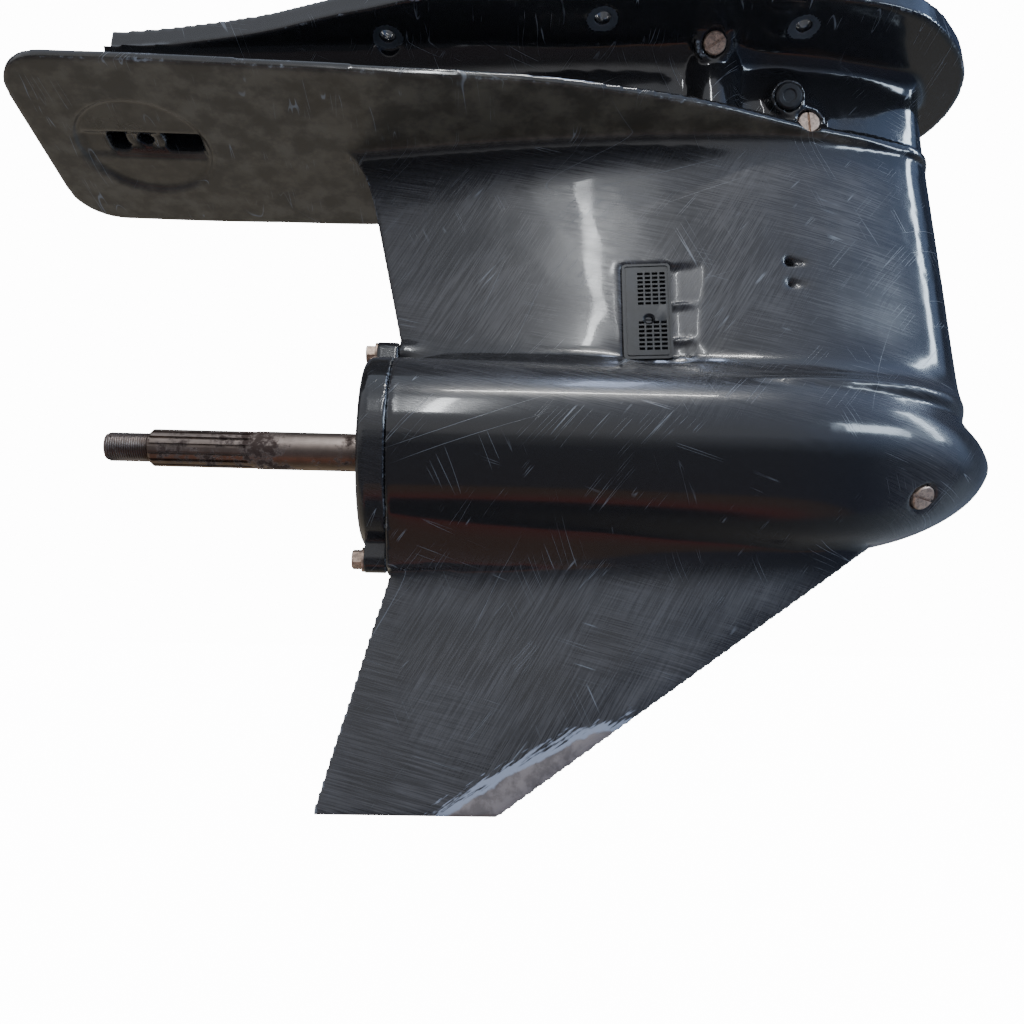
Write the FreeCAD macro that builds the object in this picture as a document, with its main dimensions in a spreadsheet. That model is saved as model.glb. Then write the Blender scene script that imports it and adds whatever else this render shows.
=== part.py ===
import FreeCAD, Part
import math
import os
import Sketcher
from FreeCAD import Placement, Rotation
from FreeCAD import Vector as V

# Outboard lower unit, millimetres. +Z up, +X forward, +Y port. The origin is where the driveshaft
# axis meets the mounting face. Heights called "level" are measured up from the propeller-shaft axis.

SIZES = (
    # shaft line and casting
    ("axis_drop", 325.0),
    ("torpedo_radius", 64.0),
    ("torpedo_aft", -287.0),
    ("torpedo_straight_end", -50.0),
    ("torpedo_nose", 115.0),
    ("strut_lead", 103.0),
    ("strut_half", 36.0),
    ("strut_blend", 28.0),
    ("plate_level", 239.0),
    ("plate_thick", 7.0),
    ("plate_half", 88.0),
    ("skeg_level", -231.0),
    ("skeg_half", 6.5),
    ("flange_level", 307.0),
    ("flange_half", 97.0),
    ("deck_drop", 2.0),
    # carrier and its seat
    ("carrier_seat_radius", 52.0),
    ("carrier_seat_aft", -92.0),
    ("carrier_seat_front", -44.0),
    ("cap_thick", 18.0),
    ("cap_mouth_radius", 56.0),
    ("carrier_hub_radius", 31.0),
    ("lug_radius", 74.0),
    ("lug_boss_radius", 8.5),
    ("slip_clear", 0.04),
    ("part_gap", 0.02),
    # propeller shaft
    ("prop_shaft_radius", 13.0),
    ("prop_journal_radius", 12.7),
    ("prop_spline_radius", 12.4),
    ("prop_tip", -476.0),
    ("prop_thread_end", -447.0),
    ("prop_thread_radius", 9.6),
    ("prop_spline_end", -377.0),
    ("prop_spline_depth", 1.6),
    ("prop_front", 64.0),
    ("actuator_bore_radius", 5.0),
    # bevel gears
    ("gear_module", 3.2),
    ("gear_face", 13.5),
    ("gear_backlash", 0.5),
    ("gear_bore_radius", 46.5),
    ("gear_hub_face", 17.5),
    ("gear_lug_height", 5.0),
    ("gear_journal_radius", 22.0),
    ("gear_back", 38.0),
    ("gear_journal_end", 60.0),
    # clutch dog
    ("dog_radius", 20.5),
    ("dog_half", 7.0),
    ("shift_throw", 10.0),
    # forward bearing
    ("forward_cup_radius", 35.0),
    ("forward_cup_aft", 39.0),
    ("bearing_width", 18.0),
    # driveshaft line
    ("drive_shaft_radius", 14.3),
    ("drive_shaft_top", 490.0),
    ("drive_pilot_radius", 8.5),
    ("drive_pilot_length", 15.0),
    ("drive_bore_radius", 29.0),
    ("pinion_seat_radius", 10.0),
    ("pinion_nut_top", 29.5),
    ("pinion_nut_foot", 23.0),
    ("needle_radius", 21.0),
    ("needle_foot", 56.0),
    ("needle_length", 24.0),
    ("drive_cup_radius", 26.0),
    ("drive_cup_foot", 84.0),
    # shift line
    ("shift_line", 80.0),
    ("shift_rod_radius", 5.5),
    ("shift_crank_throw", 10.0),
    ("shift_pin_radius", 2.5),
    ("spool_radius", 10.0),
    # water pump
    ("deck_radius", 53.0),
    ("pump_bolt_spread", 31.0),
    ("impeller_radius", 28.0),
    ("liner_offset", 2.0),
    ("impeller_height", 24.0),
    # screens and window
    ("window_centre", -118.5),
    ("window_level", 97.0),
    ("window_wide", 33.0),
    ("window_high", 73.0),
    ("screen_thick", 3.5),
    # fastenings
    ("flange_hole_radius", 5.5),
    ("spot_radius", 11.0),
)

doc = FreeCAD.newDocument("LowerUnit")
sheet = doc.addObject("Spreadsheet::Sheet", "Sheet")


class Size:
    """A length with its value and the sheet formula that gives it."""

    def __init__(self, value, formula):
        self.value = value
        self.formula = formula

    def __float__(self):
        return self.value

    def __neg__(self):
        return Size(-self.value, f"(0 - {self.formula})")

    def __add__(self, other):
        return Size(self.value + float(other), f"({self.formula} + {formula(other)})")

    def __sub__(self, other):
        return Size(self.value - float(other), f"({self.formula} - {formula(other)})")

    def __mul__(self, other):
        return Size(self.value * float(other), f"({self.formula} * {formula(other)})")

    def __truediv__(self, other):
        return Size(self.value / float(other), f"({self.formula} / {formula(other)})")

    def __radd__(self, other):
        return Size(float(other) + self.value, f"({formula(other)} + {self.formula})")

    def __rsub__(self, other):
        return Size(float(other) - self.value, f"({formula(other)} - {self.formula})")

    def __rmul__(self, other):
        return Size(float(other) * self.value, f"({formula(other)} * {self.formula})")


def formula(number):
    """The sheet formula of a size, or a plain number written out."""
    return number.formula if isinstance(number, Size) else f"{float(number):.9g}"


class Sizes:
    """All driving dimensions by name, as written in the sheet."""

    def __init__(self, table):
        for row, (name, value) in enumerate(table, start=1):
            sheet.set(f"A{row}", str(value))
            sheet.setAlias(f"A{row}", name)
            setattr(self, name, Size(value, f"Sheet.{name}"))


D = Sizes(SIZES)
doc.recompute()
PARTS = []


def node(piece, label=None):
    """Counts a finished object as one of the separate pieces."""
    if label:
        piece.Label = label
    PARTS.append(piece)
    return piece


def origin_plane(body, role):
    return [item for item in body.Origin.OriginFeatures if item.Role == role][0]


def bind(target, path, number):
    """Ties one property to its sheet formula."""
    target.setExpression(path, formula(number))


def place(piece, x=0.0, y=0.0, z=0.0):
    """Puts a piece at a position that follows the sheet."""
    piece.Placement = Placement(V(float(x), float(y), float(z)), Rotation())
    for name, number in (("x", x), ("y", y), ("z", z)):
        if isinstance(number, Size):
            bind(piece, f".Placement.Base.{name}", number)


def sketch_loop(body, name, plane, points):
    """A closed polygon sketch whose corners are tied to the sheet."""
    sketch = body.newObject("Sketcher::SketchObject", name)
    sketch.AttachmentSupport = [(origin_plane(body, plane), "")]
    sketch.MapMode = "FlatFace"
    corners = [V(float(u), float(v), 0) for u, v in points]
    count = len(corners)
    lines = [Part.LineSegment(corners[i], corners[(i + 1) % count]) for i in range(count)]
    sketch.addGeometry(lines, False)
    rules = [Sketcher.Constraint("Coincident", i, 2, (i + 1) % count, 1) for i in range(count)]
    ties = []
    for i, (u, v) in enumerate(points):
        for kind, number, line in (("DistanceX", u, -2), ("DistanceY", v, -1)):
            if float(number) == 0:
                rules.append(Sketcher.Constraint("PointOnObject", i, 1, line))
                continue
            ties.append((len(rules), number))
            rules.append(Sketcher.Constraint(kind, -1, 1, i, 1, float(number)))
    sketch.addConstraint(rules)
    for index, number in ties:
        if isinstance(number, Size):
            bind(sketch, f"Constraints[{index}]", number)
    return sketch


def turned(label, profile, axis="X", x=0.0, z=0.0):
    """A body turned from a closed profile of (along, radius) corners about X or Z."""
    body = doc.addObject("PartDesign::Body", label)
    if axis == "X":
        sketch = sketch_loop(body, label + "_profile", "XY_Plane", profile)
        line = "H_Axis"
    else:
        sketch = sketch_loop(body, label + "_profile", "XZ_Plane", [(r, a) for a, r in profile])
        line = "V_Axis"
    turn = body.newObject("PartDesign::Revolution", label + "_turn")
    turn.Profile = sketch
    turn.ReferenceAxis = (sketch, [line])
    turn.Angle = 360
    place(body, x, 0.0, z)
    return body


def shaped(label, shape, x=0.0, y=0.0, z=0.0):
    """A piece whose form needs lofts or solids that no sketch gives."""
    piece = doc.addObject("Part::Feature", label)
    piece.Shape = Part.Compound([shape])
    place(piece, x, y, z)
    return piece


def cut(label, base, *tools):
    """Base minus its tools, kept as a boolean of the document."""
    tool = tools[0]
    if len(tools) > 1:
        tool = doc.addObject("Part::MultiFuse", label + "_tools")
        tool.Shapes = list(tools)
    result = doc.addObject("Part::Cut", label)
    result.Base = base
    result.Tool = tool
    return result


def cylinder(radius, length, foot, direction=V(0, 0, 1)):
    return Part.makeCylinder(float(radius), float(length), foot, direction)


def block(x0, y0, z0, x1, y1, z1):
    return Part.makeBox(x1 - x0, y1 - y0, z1 - z0, V(x0, y0, z0))


# casting: outer form

drop = float(D.axis_drop)


def rise(level):
    """Height in the part's frame of a level above the propeller-shaft axis."""
    return float(level) - drop


def thickness(share):
    """Foil half-thickness, as a share of its largest, at a share of the chord from the front."""
    law = (0.2969 * math.sqrt(share) - 0.1260 * share - 0.3516 * share ** 2
           + 0.2843 * share ** 3 - 0.1036 * share ** 4)
    return max(10 * law, 0.0)


def mirrored_wire(starboard, level):
    """A closed outline through starboard half points, front first, closed flat at the tail."""
    left = [V(x, y, rise(level)) for x, y in starboard]
    right = [V(x, -y, rise(level)) for x, y in starboard]
    points = left[::-1] + right[(1 if starboard[0][1] == 0 else 0):]
    curve = Part.BSplineCurve()
    curve.interpolate(points)
    return Part.Wire([curve.toShape(), Part.LineSegment(points[-1], points[0]).toShape()])


def foil(level, lead, trail, half, tail, count=10):
    """One foil section with a blunt trailing edge."""
    shares = [0.5 * (1 - math.cos(math.pi * i / count)) for i in range(count + 1)]
    return mirrored_wire([(lead - (lead - trail) * s, thickness(s) * half + tail * s) for s in shares],
                         level)


radius = float(D.torpedo_radius)
aft = float(D.torpedo_aft)
straight = float(D.torpedo_straight_end)
nose = float(D.torpedo_nose)
lead = float(D.strut_lead)
half = float(D.strut_half)
plate = float(D.plate_level)
plate_top = plate + float(D.plate_thick)
under = float(D.flange_level)

# the torpedo: a cylinder that runs into a blunt ogive nose
bow = [V(straight + (nose - straight) * u, 0, radius * (1 - u ** 2.4) ** 0.6)
       for u in (0, 0.15, 0.3, 0.45, 0.6, 0.75, 0.86, 0.93, 0.975, 1.0)]
ogive = Part.BSplineCurve()
ogive.interpolate(bow, InitialTangent=V(1, 0, 0), FinalTangent=V(0, 0, -1))
outline = Part.Wire([
    Part.LineSegment(V(aft, 0, 0), V(aft, 0, radius)).toShape(),
    Part.LineSegment(V(aft, 0, radius), V(straight, 0, radius)).toShape(),
    ogive.toShape(),
    Part.LineSegment(V(nose, 0, 0), V(aft, 0, 0)).toShape(),
])
torpedo = Part.Face(outline).revolve(V(0, 0, 0), V(1, 0, 0), 360)
torpedo.translate(V(0, 0, -drop))

# the strut: foil sections that swell into the torpedo below and into the plate above
blend = float(D.strut_blend)
blend_level = math.sqrt((radius + blend) ** 2 - (half + blend) ** 2)


def strut_half_at(level):
    """Half-thickness of the strut, with the round blend onto the torpedo."""
    if level >= blend_level:
        return half
    return half + blend - math.sqrt(blend ** 2 - (blend_level - level) ** 2)


def strut_trail(level):
    """Trailing edge: leans aft with height, then sweeps out under the plate."""
    lean = (aft + 2) - 0.222 * (level - 78)
    sweep = max(level - (plate - 40), 0) / 40
    return lean - 12 * sweep ** 2


levels = [blend_level - 0.75 * blend, blend_level - 0.5 * blend, blend_level - 0.25 * blend, blend_level]
levels = levels + [blend_level + (plate - blend_level) * f for f in (0.3, 0.62, 0.86)]
strut_sections = [
    foil(4, lead - 18, aft + 9, 0.58 * half, 2.2),
    foil(22, lead - 5, aft + 7, 0.92 * half, 2.2),
]
strut_sections += [foil(level, lead, strut_trail(level), strut_half_at(level), 2.2) for level in levels]
strut_sections.append(foil(plate - 3, lead, strut_trail(plate - 3), half * 1.05, 3.2))
strut_sections.append(foil(plate + 2, lead, strut_trail(plate) - 6, half * 1.12, 6.0))
strut = Part.makeLoft(strut_sections, True, False)

# the skeg: a thin foil, its leading edge swept well aft
skeg_low = float(D.skeg_level)
skeg = Part.makeLoft([
    foil(-40, 55, aft + 6, float(D.skeg_half) + 3.0, 1.6),
    foil(-83, -5, aft + 2, float(D.skeg_half), 1.6),
    foil(skeg_low, -213, -323, float(D.skeg_half) - 2.5, 1.2),
], True, True)

# the keel fairing that carries the skeg under the torpedo
KEEL = ((-287, -82, 11), (-151, -78, 10), (-53, -71, 8), (25, -55, 4))


def keel_wire(x, low, foot):
    shoulder = 0.55 * radius
    side = math.sqrt(radius ** 2 - shoulder ** 2)
    fade = (low / -82) ** 2
    points = [(-side * fade, -shoulder * 0.9), (-foot, low), (foot, low), (side * fade, -shoulder * 0.9)]
    points = [V(x, y, rise(z)) for y, z in points]
    return Part.makePolygon(points + points[:1])


keel = Part.makeLoft([keel_wire(*row) for row in KEEL], True, True)

# the anti-ventilation plate: wide aft, fading into a ridge along the leading edge
PLATE = ((103, 3), (100, 12), (90, 22), (73, 28), (48, 35), (8, 43), (-38, 55), (-83, 66), (-126, 73),
         (-181, 80), (-235, 83), (-289, 84), (-355, 86), (-420, 87), (-485, 88), (-515, 87.5))
width = float(D.plate_half) / 88
tail_corner = 35.0
plate_edge = [(x, y * width) for x, y in PLATE]
tail_x = -561.0
corner = [(tail_x + tail_corner - tail_corner * math.sin(math.radians(a)),
           plate_edge[-1][1] - tail_corner + tail_corner * math.cos(math.radians(a)))
          for a in (20, 45, 70, 90)]
plate_wire = mirrored_wire(plate_edge + corner, plate)
plate_pad = Part.Face(plate_wire).extrude(V(0, 0, plate_top - plate))

# the upper housing: wall sections that lean out and flare into the flange
WALL = ((103, 0, 0), (100, 8, 14), (94, 15, 22), (80, 22, 28), (50, 30.5, 33), (20, 34.5, 38),
        (-30, 37, 42), (-76, 37.5, 46), (-120, 36, 45), (-178, 32, 40), (-222, 29, 40), (-273, 25, 38),
        (-314, 22, 35), (-381, 19, 30), (-442, 16, 25), (-500, 14, 21), (-516, 13.5, 20))


def wall_wire(level, spread, flare, ahead):
    stations = [(x + ahead * (x == WALL[0][0]), (low + (high - low) * spread) + (flare if low else 0))
                for x, low, high in WALL]
    return mirrored_wire(stations, level)


span = under - plate_top
walls = [wall_wire(plate + 2, 0.0, 0.0, 0.0)]
for share in (0.12, 0.35, 0.6, 0.8):
    walls.append(wall_wire(plate_top + span * share, share ** 2, 0.0, 0.0))
walls.append(wall_wire(under - 4.5, 0.90, 2.0, 2.0))
walls.append(wall_wire(under + 1, 1.0, 8.0, 9.0))
upper = Part.makeLoft(walls, True, False)

# the mounting flange
FLANGE = ((135, 11), (129, 32), (108, 60), (80, 81), (28, 94), (-50, 97), (-120, 95), (-190, 90),
          (-250, 86), (-292, 78), (-314, 71), (-336, 65), (-381, 50), (-442, 35), (-481, 28), (-512, 24))
broad = float(D.flange_half) / 97
flange_wire = mirrored_wire([(136, 0)] + [(x, y * broad) for x, y in FLANGE], under)
flange = Part.Face(flange_wire).extrude(V(0, 0, drop - under))
form = torpedo.fuse([strut, skeg, keel, plate_pad, upper, flange])

# bosses: plug seats on the starboard side, the carrier bolt bosses, the round cap's seat
PLUG_SEATS = {
    "flushing": (V(-68, -60, rise(300)), V(0, -0.78, -0.63), 13.5, 34.0),
    "oil_level": (V(2, -40, rise(250)), V(0, -0.97, -0.24), 13.0, 22.0),
    "round_cap": (V(-14, -50, rise(264)), V(0, -0.92, -0.39), 12.0, 26.0),
}
DRAIN_SEAT = (V(52, -34.5, rise(-34.5)), V(0.30, -0.675, -0.675))
bosses = []
for face, out, boss_radius, depth in PLUG_SEATS.values():
    bosses.append(Part.makeCone(boss_radius + 5, boss_radius, depth, face - out * depth, out))
flushing_x = PLUG_SEATS["flushing"][0].x
cap_face = PLUG_SEATS["round_cap"][0]
bosses.append(Part.makeCone(19.0, 23.0, under - plate_top + 6, V(flushing_x + 2, -31, rise(plate_top - 3))))
bosses.append(Part.makeSphere(31.0, V(cap_face.x + 8, -15, cap_face.z - 6)))
for side in (1, -1):
    bosses.append(cylinder(D.lug_boss_radius, 46, V(aft, 0, side * float(D.lug_radius) - drop), V(1, 0, 0)))
    bosses.append(Part.makeCone(float(D.lug_boss_radius), 2.0, 22,
                                V(aft + 46, 0, side * float(D.lug_radius) - drop),
                                V(1, 0, 0)))
form = form.fuse(bosses)
form = form.cut(block(-600, -200, 0, 300, 200, 60))

casting_form = shaped("casting_form", form)

# casting: cores and machining

# the bore along the shaft: carrier mouth, carrier seat, gear chamber, bearing seat, spool chamber
carrier_fit = D.carrier_seat_radius + D.slip_clear
bore_body = turned("casting_shaft_bore", [
    (D.torpedo_aft - 1, 0),
    (D.torpedo_aft - 1, D.cap_mouth_radius),
    (D.carrier_seat_aft - 8, D.cap_mouth_radius),
    (D.carrier_seat_aft, carrier_fit),
    (D.carrier_seat_front, carrier_fit),
    (D.carrier_seat_front, D.gear_bore_radius),
    (D.forward_cup_aft - 2, D.gear_bore_radius),
    (D.forward_cup_aft - 2, D.forward_cup_radius + D.part_gap),
    (D.forward_cup_aft + D.bearing_width + 1, D.forward_cup_radius + D.part_gap),
    (D.forward_cup_aft + D.bearing_width + 1, D.forward_cup_radius - 8),
    (D.shift_line - 13, D.forward_cup_radius - 12),
    (D.shift_line - 13, D.spool_radius + 2.5),
    (D.shift_line + 17, D.spool_radius + 2.5),
    (D.shift_line + 19, 0),
], x=0.0, z=-D.axis_drop)

# the bore down the strut: needle seat, cup seat, threaded nut seat, oil space, seal carrier seat
drive_bore = turned("casting_drive_bore", [
    (10.0, 0),
    (10.0, 28.0),
    (D.needle_foot - 2, 28.0),
    (D.needle_foot - 2, D.needle_radius - 3),
    (D.needle_foot, D.needle_radius - 3),
    (D.needle_foot, D.needle_radius + D.part_gap),
    (D.drive_cup_foot - 2, D.needle_radius + D.part_gap),
    (D.drive_cup_foot - 2, D.drive_cup_radius - 3),
    (D.drive_cup_foot, D.drive_cup_radius - 3),
    (D.drive_cup_foot, D.drive_cup_radius + D.part_gap),
    (D.drive_cup_foot + D.bearing_width, D.drive_cup_radius + D.part_gap),
    (D.drive_cup_foot + D.bearing_width, D.drive_bore_radius),
    (D.axis_drop - 34, D.drive_bore_radius),
    (D.axis_drop - 34, D.drive_bore_radius + 6),
    (D.axis_drop + 1, D.drive_bore_radius + 6),
    (D.axis_drop + 1, 0),
], axis="Z", z=-D.axis_drop)

# the bore down the leading edge for the shift rod, with the crank chamber at its foot
crank_room = D.shift_crank_throw + D.shift_pin_radius + 2.0
shift_bore = turned("casting_shift_bore", [
    (-3.0, 0),
    (-3.0, crank_room),
    (20.0, crank_room),
    (20.0, D.shift_rod_radius + 3),
    (D.axis_drop - 30, D.shift_rod_radius + 3),
    (D.axis_drop - 30, 14.0),
    (D.axis_drop + 1, 14.0),
    (D.axis_drop + 1, 0),
], axis="Z", x=D.shift_line, z=-D.axis_drop)


def polygon_prism(rings):
    """A straight-sided core lofted through polygons given as (level, corners)."""
    wires = []
    for level, corners in rings:
        points = [V(x, y, rise(level)) for x, y in corners]
        wires.append(Part.makePolygon(points + points[:1]))
    return Part.makeLoft(wires, True, True)


def duct_ring(level, front, back, wide, narrow):
    """One ring of the exhaust core: wide in front, narrow aft, its corners cut."""
    side = [(front, 0.55 * wide), (front - 10, wide),
            (0.45 * front + 0.55 * back, 0.5 * (wide + narrow) + 2),
            (back + 8, narrow), (back, 0.55 * narrow)]
    return level, side + [(x, -y) for x, y in reversed(side)]


exhaust_core = polygon_prism([
    duct_ring(drop + 1, -76, -250, 31, 16),
    duct_ring(plate_top + 10, -108, -250, 24, 11),
    duct_ring(170, -142, -246, 18, 6),
    duct_ring(45, -150, -236, 17, 5),
])

# the water window through the strut, its screen seats and the lead-in scoops
window_x = float(D.window_centre)
window_level = float(D.window_level)
window_wide = float(D.window_wide)
window_high = float(D.window_high)
screen_thick = float(D.screen_thick)
seat_trail = strut_trail(window_level)


def strut_side(x):
    """Half-thickness of the strut at the window's level."""
    share = (lead - x) / (lead - seat_trail)
    return thickness(share) * half + 2.2 * share


screen_ahead = window_x + window_wide / 2
screen_behind = window_x - window_wide / 2
screen_slope = math.degrees(math.atan2(strut_side(screen_ahead) - strut_side(screen_behind), window_wide))
screen_face = strut_side(window_x) + 0.4


def on_side(shape, side):
    """Moves a piece drawn on the plane Y=0 facing -Y to one side of the strut."""
    shape = shape.copy()
    shape.translate(V(-window_x, 0, 0))
    shape.rotate(V(0, 0, 0), V(0, 0, 1), -screen_slope)
    shape.translate(V(window_x, -screen_face, rise(window_level)))
    return shape if side < 0 else shape.mirror(V(0, 0, 0), V(0, 1, 0))


def rounded_plate(cx, cz, wide, high, near, far, corner):
    """An upright plate centred at (cx, cz), from Y=near to Y=far, its corners rounded."""
    plate_box = block(cx - wide / 2, near, cz - high / 2, cx + wide / 2, far, cz + high / 2)
    edges = [e for e in plate_box.Edges if abs(e.BoundBox.YLength - (far - near)) < 1e-6]
    return plate_box.makeFillet(corner, edges)


window_cut = rounded_plate(window_x, window_level, window_wide - 6, window_high - 7,
                           -half - 10, half + 10, 3.0)
window_cut.translate(V(0, 0, -drop))
seat_cuts = []
scoops = []
SCOOP_LEVELS = ((61.5, 73.5), (75.5, 100.5), (102.5, 132.5))
for side in (-1, 1):
    seat = rounded_plate(window_x, 0, window_wide + 2 * 0.3, window_high + 2 * 0.3, -6, screen_thick, 3.3)
    seat_cuts.append(on_side(seat, side))
    for low, high in SCOOP_LEVELS:
        low_side = low - window_level
        high_side = high - window_level
        ramp = Part.makePolygon([V(screen_ahead - 2, -5, low_side),
                                 V(screen_ahead - 2, screen_thick, low_side),
                                 V(screen_ahead + 4, screen_thick, low_side),
                                 V(screen_ahead + 26, 0.3, low_side),
                                 V(screen_ahead + 29, -5, low_side), V(screen_ahead - 2, -5, low_side)])
        scoops.append(on_side(Part.Face(ramp).extrude(V(0, 0, high_side - low_side)), side))

# the water way from the window up to the pump
water_foot = V(window_x + 4, 0, rise(window_level + 22))
water_head = V(-45, 0, rise(drop - 20))
water_way = cylinder(8, (water_head - water_foot).Length, water_foot, water_head - water_foot)
water_up = cylinder(8, 30, V(-45, 0, -24))

# pick-up holes: teardrops that drain forward into the strut wall
pickups = []
for level in (135, 118):
    for side in (-1, 1):
        skin = side * (half - 8)
        hole = cylinder(3.2, 20, V(-20, skin, rise(level)), V(0, side, 0))
        tail = Part.makeCone(3.0, 0.6, 18, V(-20, side * (half + 0.5), rise(level)), V(1, 0, 0))
        pickups.append(hole.fuse(tail))

# the mounting bolts' holes, their spot faces and the two deep pockets aft
BOLTS = ((-6, 70), (-150, 70), (-304, 46))
hole_radius = float(D.flange_hole_radius)
spot = float(D.spot_radius)
bolt_cuts = []
for x, y in BOLTS:
    for side in (-1, 1):
        bolt_cuts.append(cylinder(hole_radius, 80, V(x, side * y, -60)))
        reach = 46 if x == BOLTS[-1][0] else 6
        bolt_cuts.append(cylinder(spot, reach, V(x, side * y, rise(under + 0.8) - reach)))
        if reach > 6:
            bolt_cuts.append(Part.makeCone(2.0, spot, 16, V(x, side * y, rise(under + 0.8) - reach - 16)))

# the deck round the pump and the shift seal, a little below the mounting face
deck = -float(D.deck_drop)
deck_cuts = [cylinder(D.deck_radius, 10, V(0, 0, deck)),
             block(-62, -13, deck, 0, 13, 5),
             cylinder(21, 10, V(float(D.shift_line), 0, deck))]
pump_spread = float(D.pump_bolt_spread)
for sx in (-1, 1):
    for sy in (-1, 1):
        deck_cuts.append(cylinder(3.2, 16, V(sx * pump_spread, sy * pump_spread, deck - 14)))
for sy in (-1, 1):
    deck_cuts.append(cylinder(2.6, 14, V(float(D.shift_line), 17 * sy, deck - 12)))
DOWELS = ((-281, 62), (60, -48))
for x, y in DOWELS:
    deck_cuts.append(cylinder(4.0, 12, V(x, y, -10)))

# the trim tab's seat under the plate
TAB_X = -484.5
tab_radius = 49.0
tab_cuts = [
    cylinder(tab_radius, 10, V(TAB_X, 0, rise(plate) - 6.5)),
]
slot_plate = block(TAB_X - 44, -13, rise(plate) - 5, TAB_X + 44, 13, rise(plate) + 6.3)
slot_plate = slot_plate.fuse(block(TAB_X - 26, -9.5, rise(plate), TAB_X + 42, 9.5, rise(plate) + 26))
tab_boss = cylinder(15, 60, V(TAB_X, 0, rise(plate) + 8))
tab_cuts.append(slot_plate.cut(tab_boss))
tab_cuts.append(cylinder(5.5, 100, V(TAB_X, 0, rise(plate) - 10)))
tab_cuts.append(cylinder(9.0, 40, V(TAB_X, 0, -38)))

# threaded plug holes with their sunk seats
PLUG_FACE = 8.0
plug_cuts = []
for name, (face, out, boss_radius, depth) in PLUG_SEATS.items():
    plug_cuts.append(cylinder(PLUG_FACE + (2.0 if name == "round_cap" else 1.0), 20, face - out * 3, out))
    plug_cuts.append(cylinder(5.5, 20, face - out * 18, out))
drain_face, drain_out = DRAIN_SEAT
plug_cuts.append(cylinder(PLUG_FACE + 1.5, 20, drain_face - drain_out * 2, drain_out))
plug_cuts.append(cylinder(5.5, 20, drain_face - drain_out * 12, drain_out))

# the carrier bolts' threaded holes
for side in (-1, 1):
    plug_cuts.append(cylinder(4.0, 36, V(aft - 2, 0, side * float(D.lug_radius) - drop), V(1, 0, 0)))

casting_cores = doc.addObject("Part::Feature", "casting_cores")
casting_cores.Shape = exhaust_core.fuse([window_cut, water_way, water_up] + seat_cuts + scoops + pickups
                                        + bolt_cuts + deck_cuts + tab_cuts + plug_cuts)

housing = node(cut("gearcase_housing", casting_form, bore_body, drive_bore, shift_bore, casting_cores))

# bevel gears

module = float(D.gear_module)
PINION_TEETH = 14
GEAR_TEETH = 26
PRESSURE = math.radians(20)
pinion_pitch = module * PINION_TEETH / 2
gear_pitch = module * GEAR_TEETH / 2
cone_length = math.hypot(pinion_pitch, gear_pitch)
face = float(D.gear_face)
addendum = 1.0 * module
dedendum = 1.2 * module


def involute(angle):
    return math.tan(angle) - angle


def gap_core(teeth, pitch, centre_angle):
    """The space between two straight bevel teeth, drawn on the back cone and run to the apex."""
    half_angle = math.asin(pitch / cone_length)
    flat_radius = pitch / math.cos(half_angle)
    flat_teeth = teeth / math.cos(half_angle)
    base_radius = flat_radius * math.cos(PRESSURE)
    slack = float(D.gear_backlash) / 2
    flank = []
    for height in (-dedendum, -0.45 * module, 0.15 * module, addendum, 1.9 * module):
        rho = max(flat_radius + height, base_radius)
        tooth = (math.pi / 2 / flat_teeth + involute(PRESSURE) - involute(math.acos(base_radius / rho))
                 - slack / 2 / flat_radius)
        swing = (math.pi / flat_teeth - tooth) / math.cos(half_angle)
        flank.append((flat_radius + height, swing))
    outer_level = (cone_length / math.cos(half_angle) - flank[0][0] * math.sin(half_angle)) * 1.12
    inner_level = outer_level * 0.45
    wires = []
    for level in (outer_level, inner_level):
        corners = []
        for side in (1, -1):
            row = []
            for rho, swing in flank:
                along = cone_length / math.cos(half_angle) - rho * math.sin(half_angle)
                reach = rho * math.cos(half_angle) * level / along
                turn = centre_angle + side * swing
                row.append(V(reach * math.cos(turn), reach * math.sin(turn), level))
            corners += row if side > 0 else row[::-1]
        wires.append(Part.makePolygon(corners + corners[:1]))
    return Part.makeLoft(wires, True, True)


def cone_point(pitch, share, height):
    """(along, radius) of a point on a tooth: share 0 at the heel, 1 at the toe."""
    half_angle = math.asin(pitch / cone_length)
    scale = (cone_length - face * share) / cone_length
    rho = pitch / math.cos(half_angle) + height
    along = cone_length / math.cos(half_angle) - rho * math.sin(half_angle)
    return along * scale, rho * math.cos(half_angle) * scale


def revolved(profile):
    """A solid turned about Z from (along, radius) corners."""
    points = [V(r, 0, a) for a, r in profile]
    return Part.Face(Part.makePolygon(points + points[:1])).revolve(V(0, 0, 0), V(0, 0, 1), 360)


def toothed(blank, teeth, pitch, first_gap):
    gaps = [gap_core(teeth, pitch, first_gap + 2 * math.pi * i / teeth) for i in range(teeth)]
    return blank.cut(gaps)


LUGS = 6
LUG_SWEEP = 28.0


def lug_ring(inner, outer, low, high, first):
    """Driving lugs: ring sectors standing on a face."""
    ring = revolved([(low, inner), (low, outer), (high, outer), (high, inner)])
    sectors = []
    for i in range(LUGS):
        turn = first + 360.0 * i / LUGS
        wedge = Part.makeCylinder(outer + 5, high - low + 2, V(0, 0, low - 1), V(0, 0, 1), LUG_SWEEP)
        wedge.rotate(V(0, 0, 0), V(0, 0, 1), turn - LUG_SWEEP / 2)
        sectors.append(ring.common(wedge))
    return sectors


shaft_r = float(D.prop_shaft_radius)
slip = float(D.slip_clear)
hub_face = float(D.gear_hub_face)
gear_back = float(D.gear_back)
journal_end = float(D.gear_journal_end)
journal_r = float(D.gear_journal_radius)
lug_height = float(D.gear_lug_height)
dog_r = float(D.dog_radius)


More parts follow.
